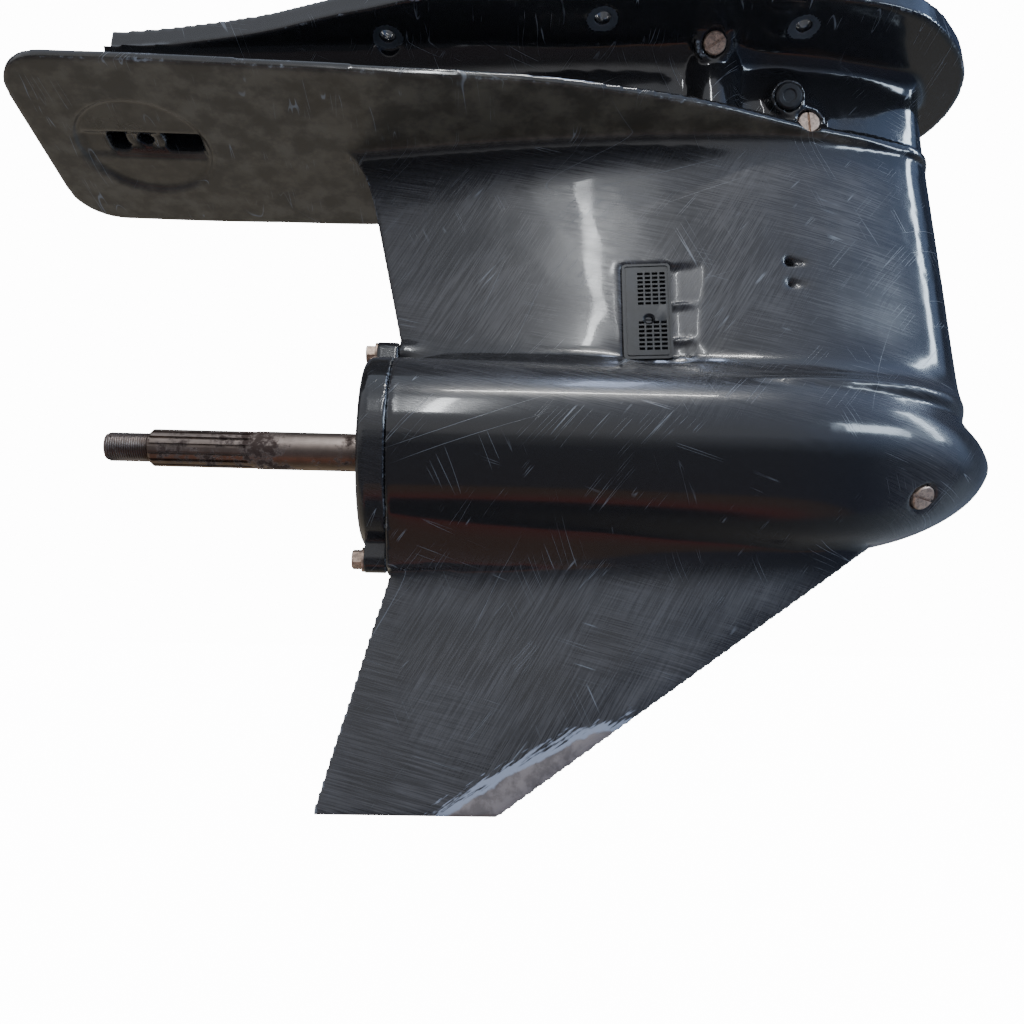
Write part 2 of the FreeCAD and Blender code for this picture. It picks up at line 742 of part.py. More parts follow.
def ring_gear():
    """A driven bevel gear about +Z, apex at the origin, lugs on its inner face."""
    heel_tip = cone_point(gear_pitch, 0, addendum)
    heel_root = cone_point(gear_pitch, 0, -dedendum - 1.5)
    toe_tip = cone_point(gear_pitch, 1, addendum)
    toe_root = cone_point(gear_pitch, 1, -dedendum - 1.0)
    blank = revolved([
        (hub_face, shaft_r + slip), (hub_face, toe_root[1] - 1.0), toe_root, toe_tip, heel_tip, heel_root,
        (gear_back - 3, heel_root[1] - 3), (gear_back, heel_root[1] - 7), (gear_back, journal_r + 5),
        (gear_back + 0.8, journal_r + 5), (gear_back + 0.8, journal_r), (journal_end - 1, journal_r),
        (journal_end, journal_r - 1), (journal_end, shaft_r + slip),
    ])
    gear = toothed(blank, GEAR_TEETH, gear_pitch, 0.0)
    return gear.fuse(lug_ring(shaft_r + 1.6, dog_r, hub_face - lug_height, hub_face, 0.0))


gear_solid = ring_gear()


def set_gear(shape, towards):
    """Turns a gear from +Z to the shaft line, its first gap upward under the pinion."""
    shape = shape.copy()
    shape.rotate(V(0, 0, 0), V(0, 1, 0), 90 if towards > 0 else -90)
    return shape


# about Y: +90 degrees sends +Z to +X and +X to -Z, so half a turn about X brings the gap up
forward_shape = set_gear(gear_solid, 1)
forward_shape.rotate(V(0, 0, 0), V(1, 0, 0), 180)
reverse_shape = set_gear(gear_solid, -1)
node(shaped("forward_gear", forward_shape, z=-D.axis_drop))
node(shaped("reverse_gear", reverse_shape, z=-D.axis_drop))


def pinion_shape():
    heel_tip = cone_point(pinion_pitch, 0, addendum)
    heel_root = cone_point(pinion_pitch, 0, -dedendum - 1.0)
    toe_tip = cone_point(pinion_pitch, 1, addendum)
    toe_root = cone_point(pinion_pitch, 1, -dedendum - 0.5)
    seat = float(D.pinion_seat_radius)
    nut_top = float(D.pinion_nut_top)
    blank = revolved([
        (nut_top, seat + 0.02), (nut_top, toe_root[1]), toe_tip, heel_tip, heel_root,
        (float(D.needle_foot) - 4.5, heel_root[1] - 1.5), (float(D.needle_foot) - 4.5, seat + 0.02),
    ])
    return toothed(blank, PINION_TEETH, pinion_pitch, math.pi / PINION_TEETH)


node(shaped("pinion_gear", pinion_shape(), z=-D.axis_drop))

# propeller shaft and clutch

gap = float(D.part_gap)
throw = float(D.shift_throw)
pin_r = 2.5


shaft_blank = turned("propeller_shaft_blank", [
    (D.prop_tip, 0),
    (D.prop_tip, D.prop_thread_radius - 2.2),
    (D.prop_tip + 2.5, D.prop_thread_radius),
    (D.prop_thread_end, D.prop_thread_radius),
    (D.prop_thread_end, D.prop_spline_radius - 1.8),
    (D.prop_thread_end + 2, D.prop_spline_radius),
    (D.prop_spline_end, D.prop_spline_radius),
    (D.prop_spline_end, D.prop_journal_radius),
    (D.torpedo_aft - D.cap_thick - 1, D.prop_journal_radius),
    (D.torpedo_aft - D.cap_thick - 1, D.prop_shaft_radius),
    (-240.0, D.prop_shaft_radius),
    (-238.0, D.prop_shaft_radius + 2.0),
    (D.carrier_seat_front - 24, D.prop_shaft_radius + 2.0),
    (D.carrier_seat_front - 24, D.prop_shaft_radius),
    (D.prop_front - 1.5, D.prop_shaft_radius),
    (D.prop_front, D.prop_shaft_radius - 1.5),
    (D.prop_front, D.actuator_bore_radius),
    (-24.0, D.actuator_bore_radius),
    (-27.0, 0),
], z=-D.axis_drop)

# fifteen splines: one groove, patterned round the axis
SPLINES = 15
grooves = []
spline_start = float(D.prop_thread_end) - 1
spline_run = float(D.prop_spline_end) - spline_start
depth = float(D.prop_spline_depth)
spline_r = float(D.prop_spline_radius)
for i in range(SPLINES):
    turn = 360.0 * i / SPLINES
    flank_in = 0.85
    flank_out = 1.35
    low = spline_r - depth
    wires = []
    for along, sink in ((spline_start, 0.0), (spline_start + spline_run - 7, 0.0),
                        (spline_start + spline_run, depth + 0.6)):
        corners = [V(along, -flank_in, low + sink), V(along, -flank_out, spline_r + 1 + sink),
                   V(along, flank_out, spline_r + 1 + sink), V(along, flank_in, low + sink)]
        wires.append(Part.makePolygon(corners + corners[:1]))
    groove = Part.makeLoft(wires, True, True)
    groove.rotate(V(0, 0, 0), V(1, 0, 0), turn + 6)
    grooves.append(groove)
slot = block(-throw / 2 - 3, -20, -pin_r - 0.1, throw / 2 + 3, 20, pin_r + 0.1)
key_cut = doc.addObject("Part::Feature", "propeller_shaft_grooves")
key_cut.Shape = Part.Compound([Part.Compound(grooves + [slot])])
place(key_cut, 0.0, 0.0, -D.axis_drop)
node(cut("propeller_shaft", shaft_blank, key_cut))

# the clutch dog, drawn in its forward position
rest = throw / 2
dog_half = float(D.dog_half)
dog_lugs = []
for towards in (1, -1):
    low, high = (dog_half, dog_half + lug_height) if towards > 0 else (-dog_half - lug_height, -dog_half)
    dog_lugs += lug_ring(shaft_r + 1.6, dog_r, low, high, 180.0 / LUGS)
dog = revolved([(-dog_half, shaft_r + slip), (-dog_half, dog_r), (-1.3, dog_r), (-1.3, dog_r - 0.9),
                (1.3, dog_r - 0.9),
                (1.3, dog_r), (dog_half, dog_r), (dog_half, shaft_r + slip)])
dog = dog.fuse(dog_lugs)
dog.rotate(V(0, 0, 0), V(0, 1, 0), 90)
dog = dog.cut(cylinder(pin_r + gap, 60, V(0, -30, 0), V(0, 1, 0)))
node(shaped("clutch_dog", dog, x=D.shift_throw / 2, z=-D.axis_drop))
pin = cylinder(pin_r, 2 * (dog_r - 1.4), V(0, -(dog_r - 1.4), 0), V(0, 1, 0))
node(shaped("cross_pin", pin, x=D.shift_throw / 2, z=-D.axis_drop))
ring = turned("cross_pin_ring", [(-1.0, D.dog_radius - 0.88), (-1.0, D.dog_radius + 0.7),
                                 (1.0, D.dog_radius + 0.7),
                                 (1.0, D.dog_radius - 0.88)], x=D.shift_throw / 2, z=-D.axis_drop)
node(ring)

# the actuator rod inside the shaft, its head held in the spool
spool_foot = D.shift_line - 8.5
actuator = turned("shift_actuator_blank", [
    (-12.0, 0), (-12.0, D.actuator_bore_radius - 0.15), (spool_foot + 1.6, D.actuator_bore_radius - 0.15),
    (spool_foot + 1.6, D.actuator_bore_radius + 1.2), (spool_foot + 3.6, D.actuator_bore_radius + 1.2),
    (spool_foot + 3.6, 0)], x=D.shift_throw / 2, z=-D.axis_drop)
actuator_hole = doc.addObject("Part::Feature", "shift_actuator_hole")
actuator_hole.Shape = Part.Compound([cylinder(pin_r + gap, 30, V(0, -15, 0), V(0, 1, 0))])
place(actuator_hole, D.shift_throw / 2, 0.0, -D.axis_drop)
node(cut("shift_actuator", actuator, actuator_hole))
pin_slot = D.shift_pin_radius + 0.3
spool = turned("shift_spool", [
    (spool_foot, D.actuator_bore_radius + 0.15), (spool_foot, D.spool_radius),
    (D.shift_line - pin_slot, D.spool_radius),
    (D.shift_line - pin_slot, 4.0), (D.shift_line + pin_slot, 4.0),
    (D.shift_line + pin_slot, D.spool_radius),
    (D.shift_line + 8, D.spool_radius), (D.shift_line + 8, 0), (spool_foot + 3.8, 0),
    (spool_foot + 3.8, D.actuator_bore_radius + 1.5), (spool_foot + 1.4, D.actuator_bore_radius + 1.5),
    (spool_foot + 1.4, D.actuator_bore_radius + 0.15)], x=D.shift_throw / 2, z=-D.axis_drop)
node(spool)

# crank, shift rod and the rod's seal
crank_throw = float(D.shift_crank_throw)
shift_pin_r = float(D.shift_pin_radius)
rod_r = float(D.shift_rod_radius)
crank = cylinder(crank_throw + shift_pin_r + 0.5, 5, V(0, 0, 11.2))
crank = crank.fuse([cylinder(rod_r + 2.5, 9.5, V(0, 0, 16.2))])
crank = crank.cut(cylinder(rod_r + gap, 20, V(0, 0, 17.0)))
pin_turn = math.radians(60)
crank = crank.fuse(cylinder(shift_pin_r, 13.2, V(crank_throw * math.cos(pin_turn),
                                                 crank_throw * math.sin(pin_turn), -1.5)))
node(shaped("shift_crank", crank, x=D.shift_line, z=-D.axis_drop))
shift_top = 92.0
rod_tip_r = 4.2
rod_splines = []
for i in range(12):
    groove = block(-0.7, rod_r - 0.9, shift_top - 32, 0.7, rod_r + 1, shift_top + 1)
    groove.rotate(V(0, 0, 0), V(0, 0, 1), 30.0 * i)
    rod_splines.append(groove)
rod_tip = cylinder(rod_r + 1, 12, V(0, 0, shift_top - 12)).cut(
    cylinder(rod_tip_r, 12, V(0, 0, shift_top - 12)))
rod = cylinder(rod_r, shift_top - rise(17.2), V(0, 0, rise(17.2))).cut(rod_splines + [rod_tip])
node(shaped("shift_rod", rod, x=D.shift_line))
seal_ring = turned("shift_seal_housing_blank", [
    (-28.0, D.shift_rod_radius + 4), (-28.0, 14.0 - D.part_gap), (-D.deck_drop, 14.0 - D.part_gap),
    (-D.deck_drop, 20.5), (2.0, 20.5), (2.0, 12.0), (8.0, 11.0), (8.0, D.shift_rod_radius + 0.3),
    (-6.0, D.shift_rod_radius + 0.3), (-6.0, D.shift_rod_radius + 4)], axis="Z", x=D.shift_line)
seal_holes = doc.addObject("Part::Feature", "shift_seal_housing_holes")
seal_holes.Shape = Part.Compound([cylinder(2.7, 20, V(0, 17 * side, -10)) for side in (1, -1)])
place(seal_holes, D.shift_line, 0.0, 0.0)
node(cut("shift_seal_housing", seal_ring, seal_holes))
node(turned("shift_rod_seal", [
    (-14.0, D.shift_rod_radius + D.slip_clear), (-14.0, D.shift_rod_radius + 4 - D.part_gap),
    (-6.0, D.shift_rod_radius + 4 - D.part_gap),
    (-6.0, D.shift_rod_radius + D.slip_clear)], axis="Z", x=D.shift_line))

# bearings on the shaft line


cup_r = D.forward_cup_radius
cup_aft = D.forward_cup_aft
wide = D.bearing_width
node(turned("forward_bearing_cup", [
    (cup_aft, cup_r - 2.2), (cup_aft, cup_r), (cup_aft + wide, cup_r), (cup_aft + wide, cup_r - 5.2)],
    z=-D.axis_drop))
node(turned("forward_bearing_cone", [
    (cup_aft, D.gear_journal_radius + D.part_gap), (cup_aft, cup_r - 4.5), (cup_aft + 1.6, cup_r - 4.5),
    (cup_aft + 1.6, cup_r - 9.6), (cup_aft + wide - 1.4, cup_r - 11.4), (cup_aft + wide - 1.4, cup_r - 10.4),
    (cup_aft + wide, cup_r - 10.4), (cup_aft + wide, D.gear_journal_radius + D.part_gap)], z=-D.axis_drop))


def bearing_rollers(label, outer, foot, count, axis, drops, ends, z=0.0):
    """Tapered rollers between a bearing's cup and cone; drops and ends at the foot and at the head."""
    start = float(foot) + 2.0
    end = float(foot) + float(wide) - 1.8
    taper = (drops[1] - drops[0]) / float(wide)
    pitch = [float(outer) - drops[0] - taper * (along - float(foot)) - roller - 0.12
             for along, roller in ((start, ends[0]), (end, ends[1]))]
    solids = []
    for i in range(count):
        turn = 2 * math.pi * (i + 0.5) / count
        if axis == "X":
            out, ahead = V(0, math.cos(turn), math.sin(turn)), V(1, 0, 0)
        else:
            out, ahead = V(math.cos(turn), math.sin(turn), 0), V(0, 0, 1)
        a = out * pitch[0] + ahead * start
        b = out * pitch[1] + ahead * end
        solids.append(Part.makeCone(ends[0], ends[1], (b - a).Length, a, b - a))
    return shaped(label, Part.Compound(solids), z=z)


node(bearing_rollers("forward_bearing_rollers", cup_r, cup_aft, 16, "X", (2.2, 5.2), (3.35, 2.95),
                     z=-D.axis_drop))
node(turned("forward_shim", [
    (cup_aft + wide, cup_r - 6), (cup_aft + wide, cup_r - 0.1), (cup_aft + wide + 0.8, cup_r - 0.1),
    (cup_aft + wide + 0.8, cup_r - 6)], z=-D.axis_drop))

# reverse gear's ball bearing, its outer race in the carrier
race_aft = -D.gear_journal_end - 1
race_front = -D.gear_back - 1.2
race_mid = (race_aft + race_front) / 2
node(turned("reverse_bearing_inner_race", [
    (race_aft, D.gear_journal_radius + D.part_gap), (race_aft, D.gear_journal_radius + 4.4),
    (race_mid - 2.6, D.gear_journal_radius + 4.4), (race_mid - 1.2, D.gear_journal_radius + 3.0),
    (race_mid + 1.2, D.gear_journal_radius + 3.0), (race_mid + 2.6, D.gear_journal_radius + 4.4),
    (race_front, D.gear_journal_radius + 4.4),
    (race_front, D.gear_journal_radius + D.part_gap)], z=-D.axis_drop))
node(turned("reverse_bearing_outer_race", [
    (race_aft, D.gear_journal_radius + 9.6), (race_aft, D.gear_journal_radius + 14),
    (race_front, D.gear_journal_radius + 14), (race_front, D.gear_journal_radius + 9.6),
    (race_mid + 2.6, D.gear_journal_radius + 9.6), (race_mid + 1.2, D.gear_journal_radius + 11.0),
    (race_mid - 1.2, D.gear_journal_radius + 11.0),
    (race_mid - 2.6, D.gear_journal_radius + 9.6)], z=-D.axis_drop))
balls = []
for i in range(11):
    turn = 2 * math.pi * i / 11
    pitch = journal_r + 7.0
    balls.append(Part.makeSphere(3.7, V(float(race_mid), pitch * math.cos(turn), pitch * math.sin(turn))))
node(shaped("reverse_bearing_balls", Part.Compound(balls), z=-D.axis_drop))

# bearing carrier

seat_r = D.carrier_seat_radius
ring_aft = D.torpedo_aft - D.cap_thick
hub = turned("carrier_hub", [
    (ring_aft, 20.0), (ring_aft, D.carrier_hub_radius - 2), (ring_aft + 3, D.carrier_hub_radius),
    (D.carrier_seat_aft - 14, D.carrier_hub_radius),
    (D.carrier_seat_aft, seat_r), (D.carrier_seat_aft + 9, seat_r), (D.carrier_seat_aft + 9, seat_r - 3.2),
    (D.carrier_seat_aft + 14, seat_r - 3.2), (D.carrier_seat_aft + 14, seat_r),
    (D.carrier_seat_front, seat_r),
    (D.carrier_seat_front, D.gear_journal_radius + 18),
    (race_front, D.gear_journal_radius + 14 + D.part_gap),
    (race_aft, D.gear_journal_radius + 14 + D.part_gap), (race_aft, D.prop_shaft_radius + 4),
    (-244.0, D.prop_shaft_radius + 4), (-246.0, D.prop_shaft_radius + 1), (-246.0, 17.5 + D.part_gap),
    (ring_aft + 24, 17.5 + D.part_gap), (ring_aft + 24, 20.0)], z=-D.axis_drop)
cap_ring = turned("carrier_ring", [
    (ring_aft, D.cap_mouth_radius - 5), (ring_aft, D.torpedo_radius - 5),
    (ring_aft + 1.5, D.torpedo_radius - 2),
    (ring_aft + 5, D.torpedo_radius), (D.torpedo_aft - D.part_gap, D.torpedo_radius),
    (D.torpedo_aft - D.part_gap, D.cap_mouth_radius - D.slip_clear),
    (D.torpedo_aft + 12, D.cap_mouth_radius - D.slip_clear), (D.torpedo_aft + 12, D.cap_mouth_radius - 5)],
    z=-D.axis_drop)
lug_r = float(D.lug_radius)
lug_boss = float(D.lug_boss_radius)
ring_back = float(ring_aft)
thick = float(D.cap_thick)
mouth = float(D.cap_mouth_radius)
hub_r = float(D.carrier_hub_radius)
webs = []
for turn in (45, 135, 225, 315):
    web = block(ring_back + 3, -4, hub_r - 2, aft + 10, 4, mouth - 3)
    web.rotate(V(0, 0, 0), V(1, 0, 0), turn)
    webs.append(web)
for side in (1, -1):
    lug = cylinder(lug_boss, thick - 3.5 - gap, V(ring_back + 3.5, 0, side * lug_r), V(1, 0, 0))
    neck_low, neck_high = sorted((side * (radius - 4), side * lug_r))
    webs += [lug, block(ring_back + 3.5, -lug_boss, neck_low, aft - gap, lug_boss, neck_high)]
carrier_webs = doc.addObject("Part::Feature", "carrier_webs")
carrier_webs.Shape = Part.Compound([webs[0].fuse(webs[1:])])
place(carrier_webs, 0.0, 0.0, -D.axis_drop)
carrier_whole = doc.addObject("Part::MultiFuse", "carrier_whole")
carrier_whole.Shapes = [hub, cap_ring, carrier_webs]
carrier_holes = doc.addObject("Part::Feature", "carrier_holes")
carrier_holes.Shape = Part.Compound([cylinder(4.3, 60, V(ring_back - 10, 0, side * lug_r), V(1, 0, 0))
                                     for side in (1, -1)])
place(carrier_holes, 0.0, 0.0, -D.axis_drop)
node(cut("bearing_carrier", carrier_whole, carrier_holes))


def flanged_bolt(width, head, flange, shank, length):
    """A hexagon head on a round flange, its shank along +Z below the flange's seat at Z=0."""
    across = width / math.sqrt(3)
    corners = [V(across * math.cos(math.radians(60 * i)), across * math.sin(math.radians(60 * i)), 0)
               for i in range(7)]
    hexagon = Part.Face(Part.makePolygon(corners)).extrude(V(0, 0, head))
    hexagon.translate(V(0, 0, -head - 1.6))
    dome = revolved([(-head - 1.6, 0), (-head - 1.6, width / 2 - 0.4), (-head - 0.6, across),
                     (0, across), (0, 0)])
    bolt = hexagon.common(dome).fuse(cylinder(flange, 1.6, V(0, 0, -1.6)))
    bolt = bolt.fuse(cylinder(shank, length - 1, V(0, 0, 0)))
    return bolt.fuse(Part.makeCone(shank, shank - 1, 1, V(0, 0, length - 1)))


def facing(shape, seat, along):
    """Stands a piece drawn about +Z on a seat, its +Z along the given way."""
    shape = shape.copy()
    shape.Placement = Placement(seat, Rotation(V(0, 0, 1), along))
    return Part.Compound([shape])


lug_bolt = flanged_bolt(11.5, 6.5, 8.0, 3.9, 46)
node(shaped("carrier_bolts", Part.Compound([
    facing(lug_bolt, V(ring_back + 3.5 - gap, 0, side * lug_r), V(1, 0, 0))
    for side in (1, -1)]), z=-D.axis_drop))
node(turned("carrier_o_ring", [
    (D.carrier_seat_aft + 9.3, seat_r - 3.1), (D.carrier_seat_aft + 9.3, seat_r - 0.1),
    (D.carrier_seat_aft + 13.7, seat_r - 0.1),
    (D.carrier_seat_aft + 13.7, seat_r - 3.1)], z=-D.axis_drop))
seal_parts = []
for start in (ring_back + 2, ring_back + 13):
    seal_parts.append(revolved([(start, shaft_r + slip), (start, 20 - gap), (start + 9, 20 - gap),
                                (start + 9, shaft_r + 3),
                                (start + 4, shaft_r + 3), (start + 4, shaft_r + slip)]))
seals = Part.Compound(seal_parts)
seals.rotate(V(0, 0, 0), V(0, 1, 0), 90)
node(shaped("propshaft_oil_seals", seals, z=-D.axis_drop))
node(turned("propshaft_needle_bearing", [
    (-272.0, D.prop_shaft_radius + D.slip_clear), (-272.0, 17.5), (-247.0, 17.5),
    (-247.0, D.prop_shaft_radius + D.slip_clear)],
    z=-D.axis_drop))
node(turned("reverse_thrust_ring", [
    (D.carrier_seat_front - 23.95, D.prop_shaft_radius + D.slip_clear),
    (D.carrier_seat_front - 23.95, D.prop_shaft_radius + 3.6),
    (race_aft - 0.3, D.prop_shaft_radius + 3.6),
    (race_aft - 0.3, D.prop_shaft_radius + D.slip_clear)], z=-D.axis_drop))

# driveshaft line

needle_foot = D.needle_foot
drive_r = D.drive_shaft_radius
cone_foot = D.drive_cup_foot
slim = D.drive_shaft_radius - 2.8
drive_blank = turned("driveshaft_blank", [
    (D.pinion_nut_foot - 0.5, 0), (D.pinion_nut_foot - 0.5, 7.0), (D.pinion_nut_foot + 0.5, 8.0),
    (D.pinion_nut_top, 8.0),
    (D.pinion_nut_top, D.pinion_seat_radius), (needle_foot - 4.5, D.pinion_seat_radius),
    (needle_foot - 4.5, drive_r - 1),
    (needle_foot - 3.5, drive_r), (cone_foot + wide, drive_r), (cone_foot + wide, drive_r + 2.7),
    (cone_foot + wide + 6, drive_r + 2.7), (cone_foot + wide + 10, slim),
    (D.axis_drop + D.drive_shaft_top - 61, slim),
    (D.axis_drop + D.drive_shaft_top - 61, slim - 1.4), (D.axis_drop + D.drive_shaft_top - 57.5, slim - 1.4),
    (D.axis_drop + D.drive_shaft_top - 57.5, slim),
    (D.axis_drop + D.drive_shaft_top - D.drive_pilot_length - 1, slim),
    (D.axis_drop + D.drive_shaft_top - D.drive_pilot_length, slim - 1),
    (D.axis_drop + D.drive_shaft_top - D.drive_pilot_length, D.drive_pilot_radius),
    (D.axis_drop + D.drive_shaft_top - 1, D.drive_pilot_radius),
    (D.axis_drop + D.drive_shaft_top, D.drive_pilot_radius - 1),
    (D.axis_drop + D.drive_shaft_top, 0)], axis="Z", z=-D.axis_drop)
top = float(D.drive_shaft_top)
slim_r = float(slim)
drive_cuts = []
for i in range(14):
    groove = block(-0.9, slim_r - 1.5, top - 49, 0.9, slim_r + 1, top + 1)
    groove.rotate(V(0, 0, 0), V(0, 0, 1), 360.0 * i / 14)
    drive_cuts.append(groove)
pump_floor = 3.8
key_low = pump_floor + 4.0
key_high = pump_floor + 20.0
drive_cuts.append(block(slim_r - 2.0, -2.0, key_low, slim_r + 5, 2.0, key_high))
drive_grooves = doc.addObject("Part::Feature", "driveshaft_grooves")
drive_grooves.Shape = Part.Compound([Part.Compound(drive_cuts)])
node(cut("driveshaft", drive_blank, drive_grooves))
nut_corners = [V(13 * math.cos(math.radians(60 * i)), 13 * math.sin(math.radians(60 * i)), 0)
               for i in range(7)]
nut_high = float(D.pinion_nut_top) - float(D.pinion_nut_foot)
nut = Part.Face(Part.makePolygon(nut_corners)).extrude(V(0, 0, nut_high - gap)).cut(
    cylinder(8.0 + gap, 30, V(0, 0, -5)))
node(shaped("pinion_nut", nut, z=-D.axis_drop + D.pinion_nut_foot))
node(turned("driveshaft_needle_bearing", [
    (needle_foot, drive_r + D.slip_clear), (needle_foot, D.needle_radius),
    (needle_foot + D.needle_length, D.needle_radius),
    (needle_foot + D.needle_length, drive_r + D.slip_clear)], axis="Z", z=-D.axis_drop))
drive_cup = D.drive_cup_radius
node(turned("driveshaft_bearing_cup", [
    (cone_foot, drive_cup - 2.2), (cone_foot, drive_cup), (cone_foot + wide, drive_cup),
    (cone_foot + wide, drive_cup - 4.2)],
    axis="Z", z=-D.axis_drop))
node(turned("driveshaft_bearing_cone", [
    (cone_foot, drive_r + D.part_gap), (cone_foot, drive_cup - 4.5), (cone_foot + 1.6, drive_cup - 4.5),
    (cone_foot + 1.6, drive_cup - 8.6), (cone_foot + wide - 1.4, drive_cup - 10.4),
    (cone_foot + wide - 1.4, drive_cup - 9.4),
    (cone_foot + wide - D.part_gap, drive_cup - 9.4),
    (cone_foot + wide - D.part_gap, drive_r + D.part_gap)], axis="Z", z=-D.axis_drop))
node(bearing_rollers("driveshaft_bearing_rollers", drive_cup, cone_foot, 14, "Z", (2.2, 4.2),
                     (2.9, 2.75), z=-D.axis_drop))
nut_ring = turned("driveshaft_bearing_nut_blank", [
    (cone_foot + wide, drive_cup - 3), (cone_foot + wide, D.drive_bore_radius - D.part_gap),
    (cone_foot + wide + 9, D.drive_bore_radius - D.part_gap), (cone_foot + wide + 9, drive_cup - 3)],
    axis="Z", z=-D.axis_drop)
nut_slots = doc.addObject("Part::Feature", "driveshaft_bearing_nut_slots")
slot_tools = []
for i in range(8):
    tool = block(float(drive_cup) - 5, -2.5, float(cone_foot + wide) + 5, 40, 2.5,
                 float(cone_foot + wide) + 12)
    tool.rotate(V(0, 0, 0), V(0, 0, 1), 45.0 * i)
    tool = tool.common(cylinder(float(drive_cup) - 0.5, 60, V(0, 0, float(cone_foot + wide))))
    slot_tools.append(tool)
nut_slots.Shape = Part.Compound([Part.Compound(slot_tools)])
place(nut_slots, 0.0, 0.0, -D.axis_drop)
node(cut("driveshaft_bearing_nut", nut_ring, nut_slots))

# seal carrier: a plate on the deck with a hub that fills the top of the strut bore
hub_fit = D.drive_bore_radius + 6 - D.slip_clear
carrier_top = 2.0
seal_blank = turned("driveshaft_seal_carrier_blank", [
    (-32.0, slim + 5), (-32.0, hub_fit - 1), (-31.0, hub_fit), (-22.0, hub_fit), (-22.0, hub_fit - 2.6),
    (-18.0, hub_fit - 2.6),
    (-18.0, hub_fit), (-D.deck_drop, hub_fit), (-D.deck_drop, D.deck_radius - 0.5),
    (carrier_top, D.deck_radius - 0.5),
    (carrier_top, slim + 2), (-4.0, slim + 2), (-4.0, slim + 7), (-24.0, slim + 7),
    (-24.0, slim + 5)], axis="Z")
seal_tools = [cylinder(8, 12, V(-45, 0, -6))]
for sx in (-1, 1):
    for sy in (-1, 1):
        seal_tools.append(cylinder(3.4, 20, V(sx * pump_spread, sy * pump_spread, -10)))
seal_cut = doc.addObject("Part::Feature", "driveshaft_seal_carrier_holes")
seal_cut.Shape = Part.Compound([Part.Compound(seal_tools)])
node(cut("driveshaft_seal_carrier", seal_blank, seal_cut))
node(turned("seal_carrier_o_ring", [
    (-21.7, hub_fit - 2.5), (-21.7, hub_fit - 0.1), (-18.3, hub_fit - 0.1),
    (-18.3, hub_fit - 2.5)], axis="Z"))
drive_seals = Part.Compound([revolved([(z0, slim_r + slip), (z0, slim_r + 7 - gap),
                                       (z0 + 8.5, slim_r + 7 - gap), (z0 + 8.5, slim_r + 3),
                             (z0 + 4, slim_r + 3), (z0 + 4, slim_r + slip)]) for z0 in (-23.5, -13.5)])
node(shaped("driveshaft_oil_seals", drive_seals))

# water pump

PUMP_CORNER = 13.0
pump_half = pump_spread + 9


def pump_sheet(low, high, hole, inlet):
    """A thin plate with the pump's four bolt holes, shaft hole and inlet."""
    sheet_solid = block(-pump_half, -pump_half, low, pump_half, pump_half, high)
    edges = [e for e in sheet_solid.Edges if abs(e.BoundBox.ZLength - (high - low)) < 1e-6]
    sheet_solid = sheet_solid.makeFillet(PUMP_CORNER, edges)
    tools = [cylinder(hole, 20, V(0, 0, low - 5))]
    for sx in (-1, 1):
        for sy in (-1, 1):
            tools.append(cylinder(3.4, 30, V(sx * pump_spread, sy * pump_spread, low - 5)))
    if inlet:
        tools.append(block(-pump_half - 5, -6, low - 1, -22, 6, high + 1))
    return sheet_solid.cut(tools)


node(shaped("pump_gasket", pump_sheet(carrier_top, carrier_top + 0.8, 16.0, True)))
node(shaped("pump_wear_plate", pump_sheet(carrier_top + 0.8, carrier_top + 1.8, 13.0, True)))
impeller_r = float(D.impeller_radius)
impeller_high = float(D.impeller_height)
offset = float(D.liner_offset)
liner_bore = impeller_r + offset + 0.5
liner_wall = 1.4
chamber_top = pump_floor + impeller_high + 1.0
liner_tube = cylinder(liner_bore + liner_wall, chamber_top - pump_floor, V(offset, 0, pump_floor)).cut(
    cylinder(liner_bore, chamber_top - pump_floor, V(offset, 0, pump_floor)))
liner_roof = cylinder(liner_bore + liner_wall, 1.4,
                      V(offset, 0, chamber_top)).cut(cylinder(slim_r + 1.5, 5, V(0, 0, chamber_top - 1)))
ports = [block(-liner_bore - 8, -11, pump_floor + 6, -liner_bore + 12, 11, chamber_top - 4)]
node(shaped("pump_liner", liner_tube.fuse(liner_roof).cut(ports)))
shell_r = liner_bore + liner_wall + gap
body_shell = pump_sheet(pump_floor, pump_floor + 9, slim_r + 1, False)
body_shell = body_shell.fuse([
    cylinder(shell_r + 4, chamber_top + 1.4 - pump_floor, V(offset, 0, pump_floor)),
    Part.makeCone(shell_r + 4, shell_r - 6, 5, V(offset, 0, chamber_top + 1.4)),
    Part.makeCone(slim_r + 8, slim_r + 4.5, 16, V(0, 0, chamber_top + 4)),
    cylinder(11.5, 44, V(-pump_spread + 1, 0, pump_floor)),
])
for turn in (50, 90, 130, 230, 270, 310, 0):
    rib = block(0, -1.6, chamber_top + 1, shell_r - 2, 1.6, chamber_top + 11)
    rib.rotate(V(0, 0, 0), V(0, 0, 1), turn)
    body_shell = body_shell.fuse(rib)
body_shell = body_shell.cut([
    cylinder(shell_r, chamber_top + 1.4 + gap - pump_floor, V(offset, 0, pump_floor)),
    cylinder(slim_r + 1.0, 60, V(0, 0, pump_floor)),
    cylinder(7.0, 40, V(-pump_spread + 1, 0, pump_floor + 8)),
    cylinder(8.6, 8, V(-pump_spread + 1, 0, pump_floor + 37)),
    block(-pump_spread - 4, -5, pump_floor + 8, -20, 5, chamber_top - 4),
])
node(shaped("pump_housing", body_shell))
grommet = revolved([(0, 6.2), (0, 8.6 - gap), (7, 8.6 - gap), (7, 12.5), (10, 12.5), (10, 6.2)])
node(shaped("water_tube_grommet", grommet, x=-D.pump_bolt_spread + 1, z=pump_floor + 37))


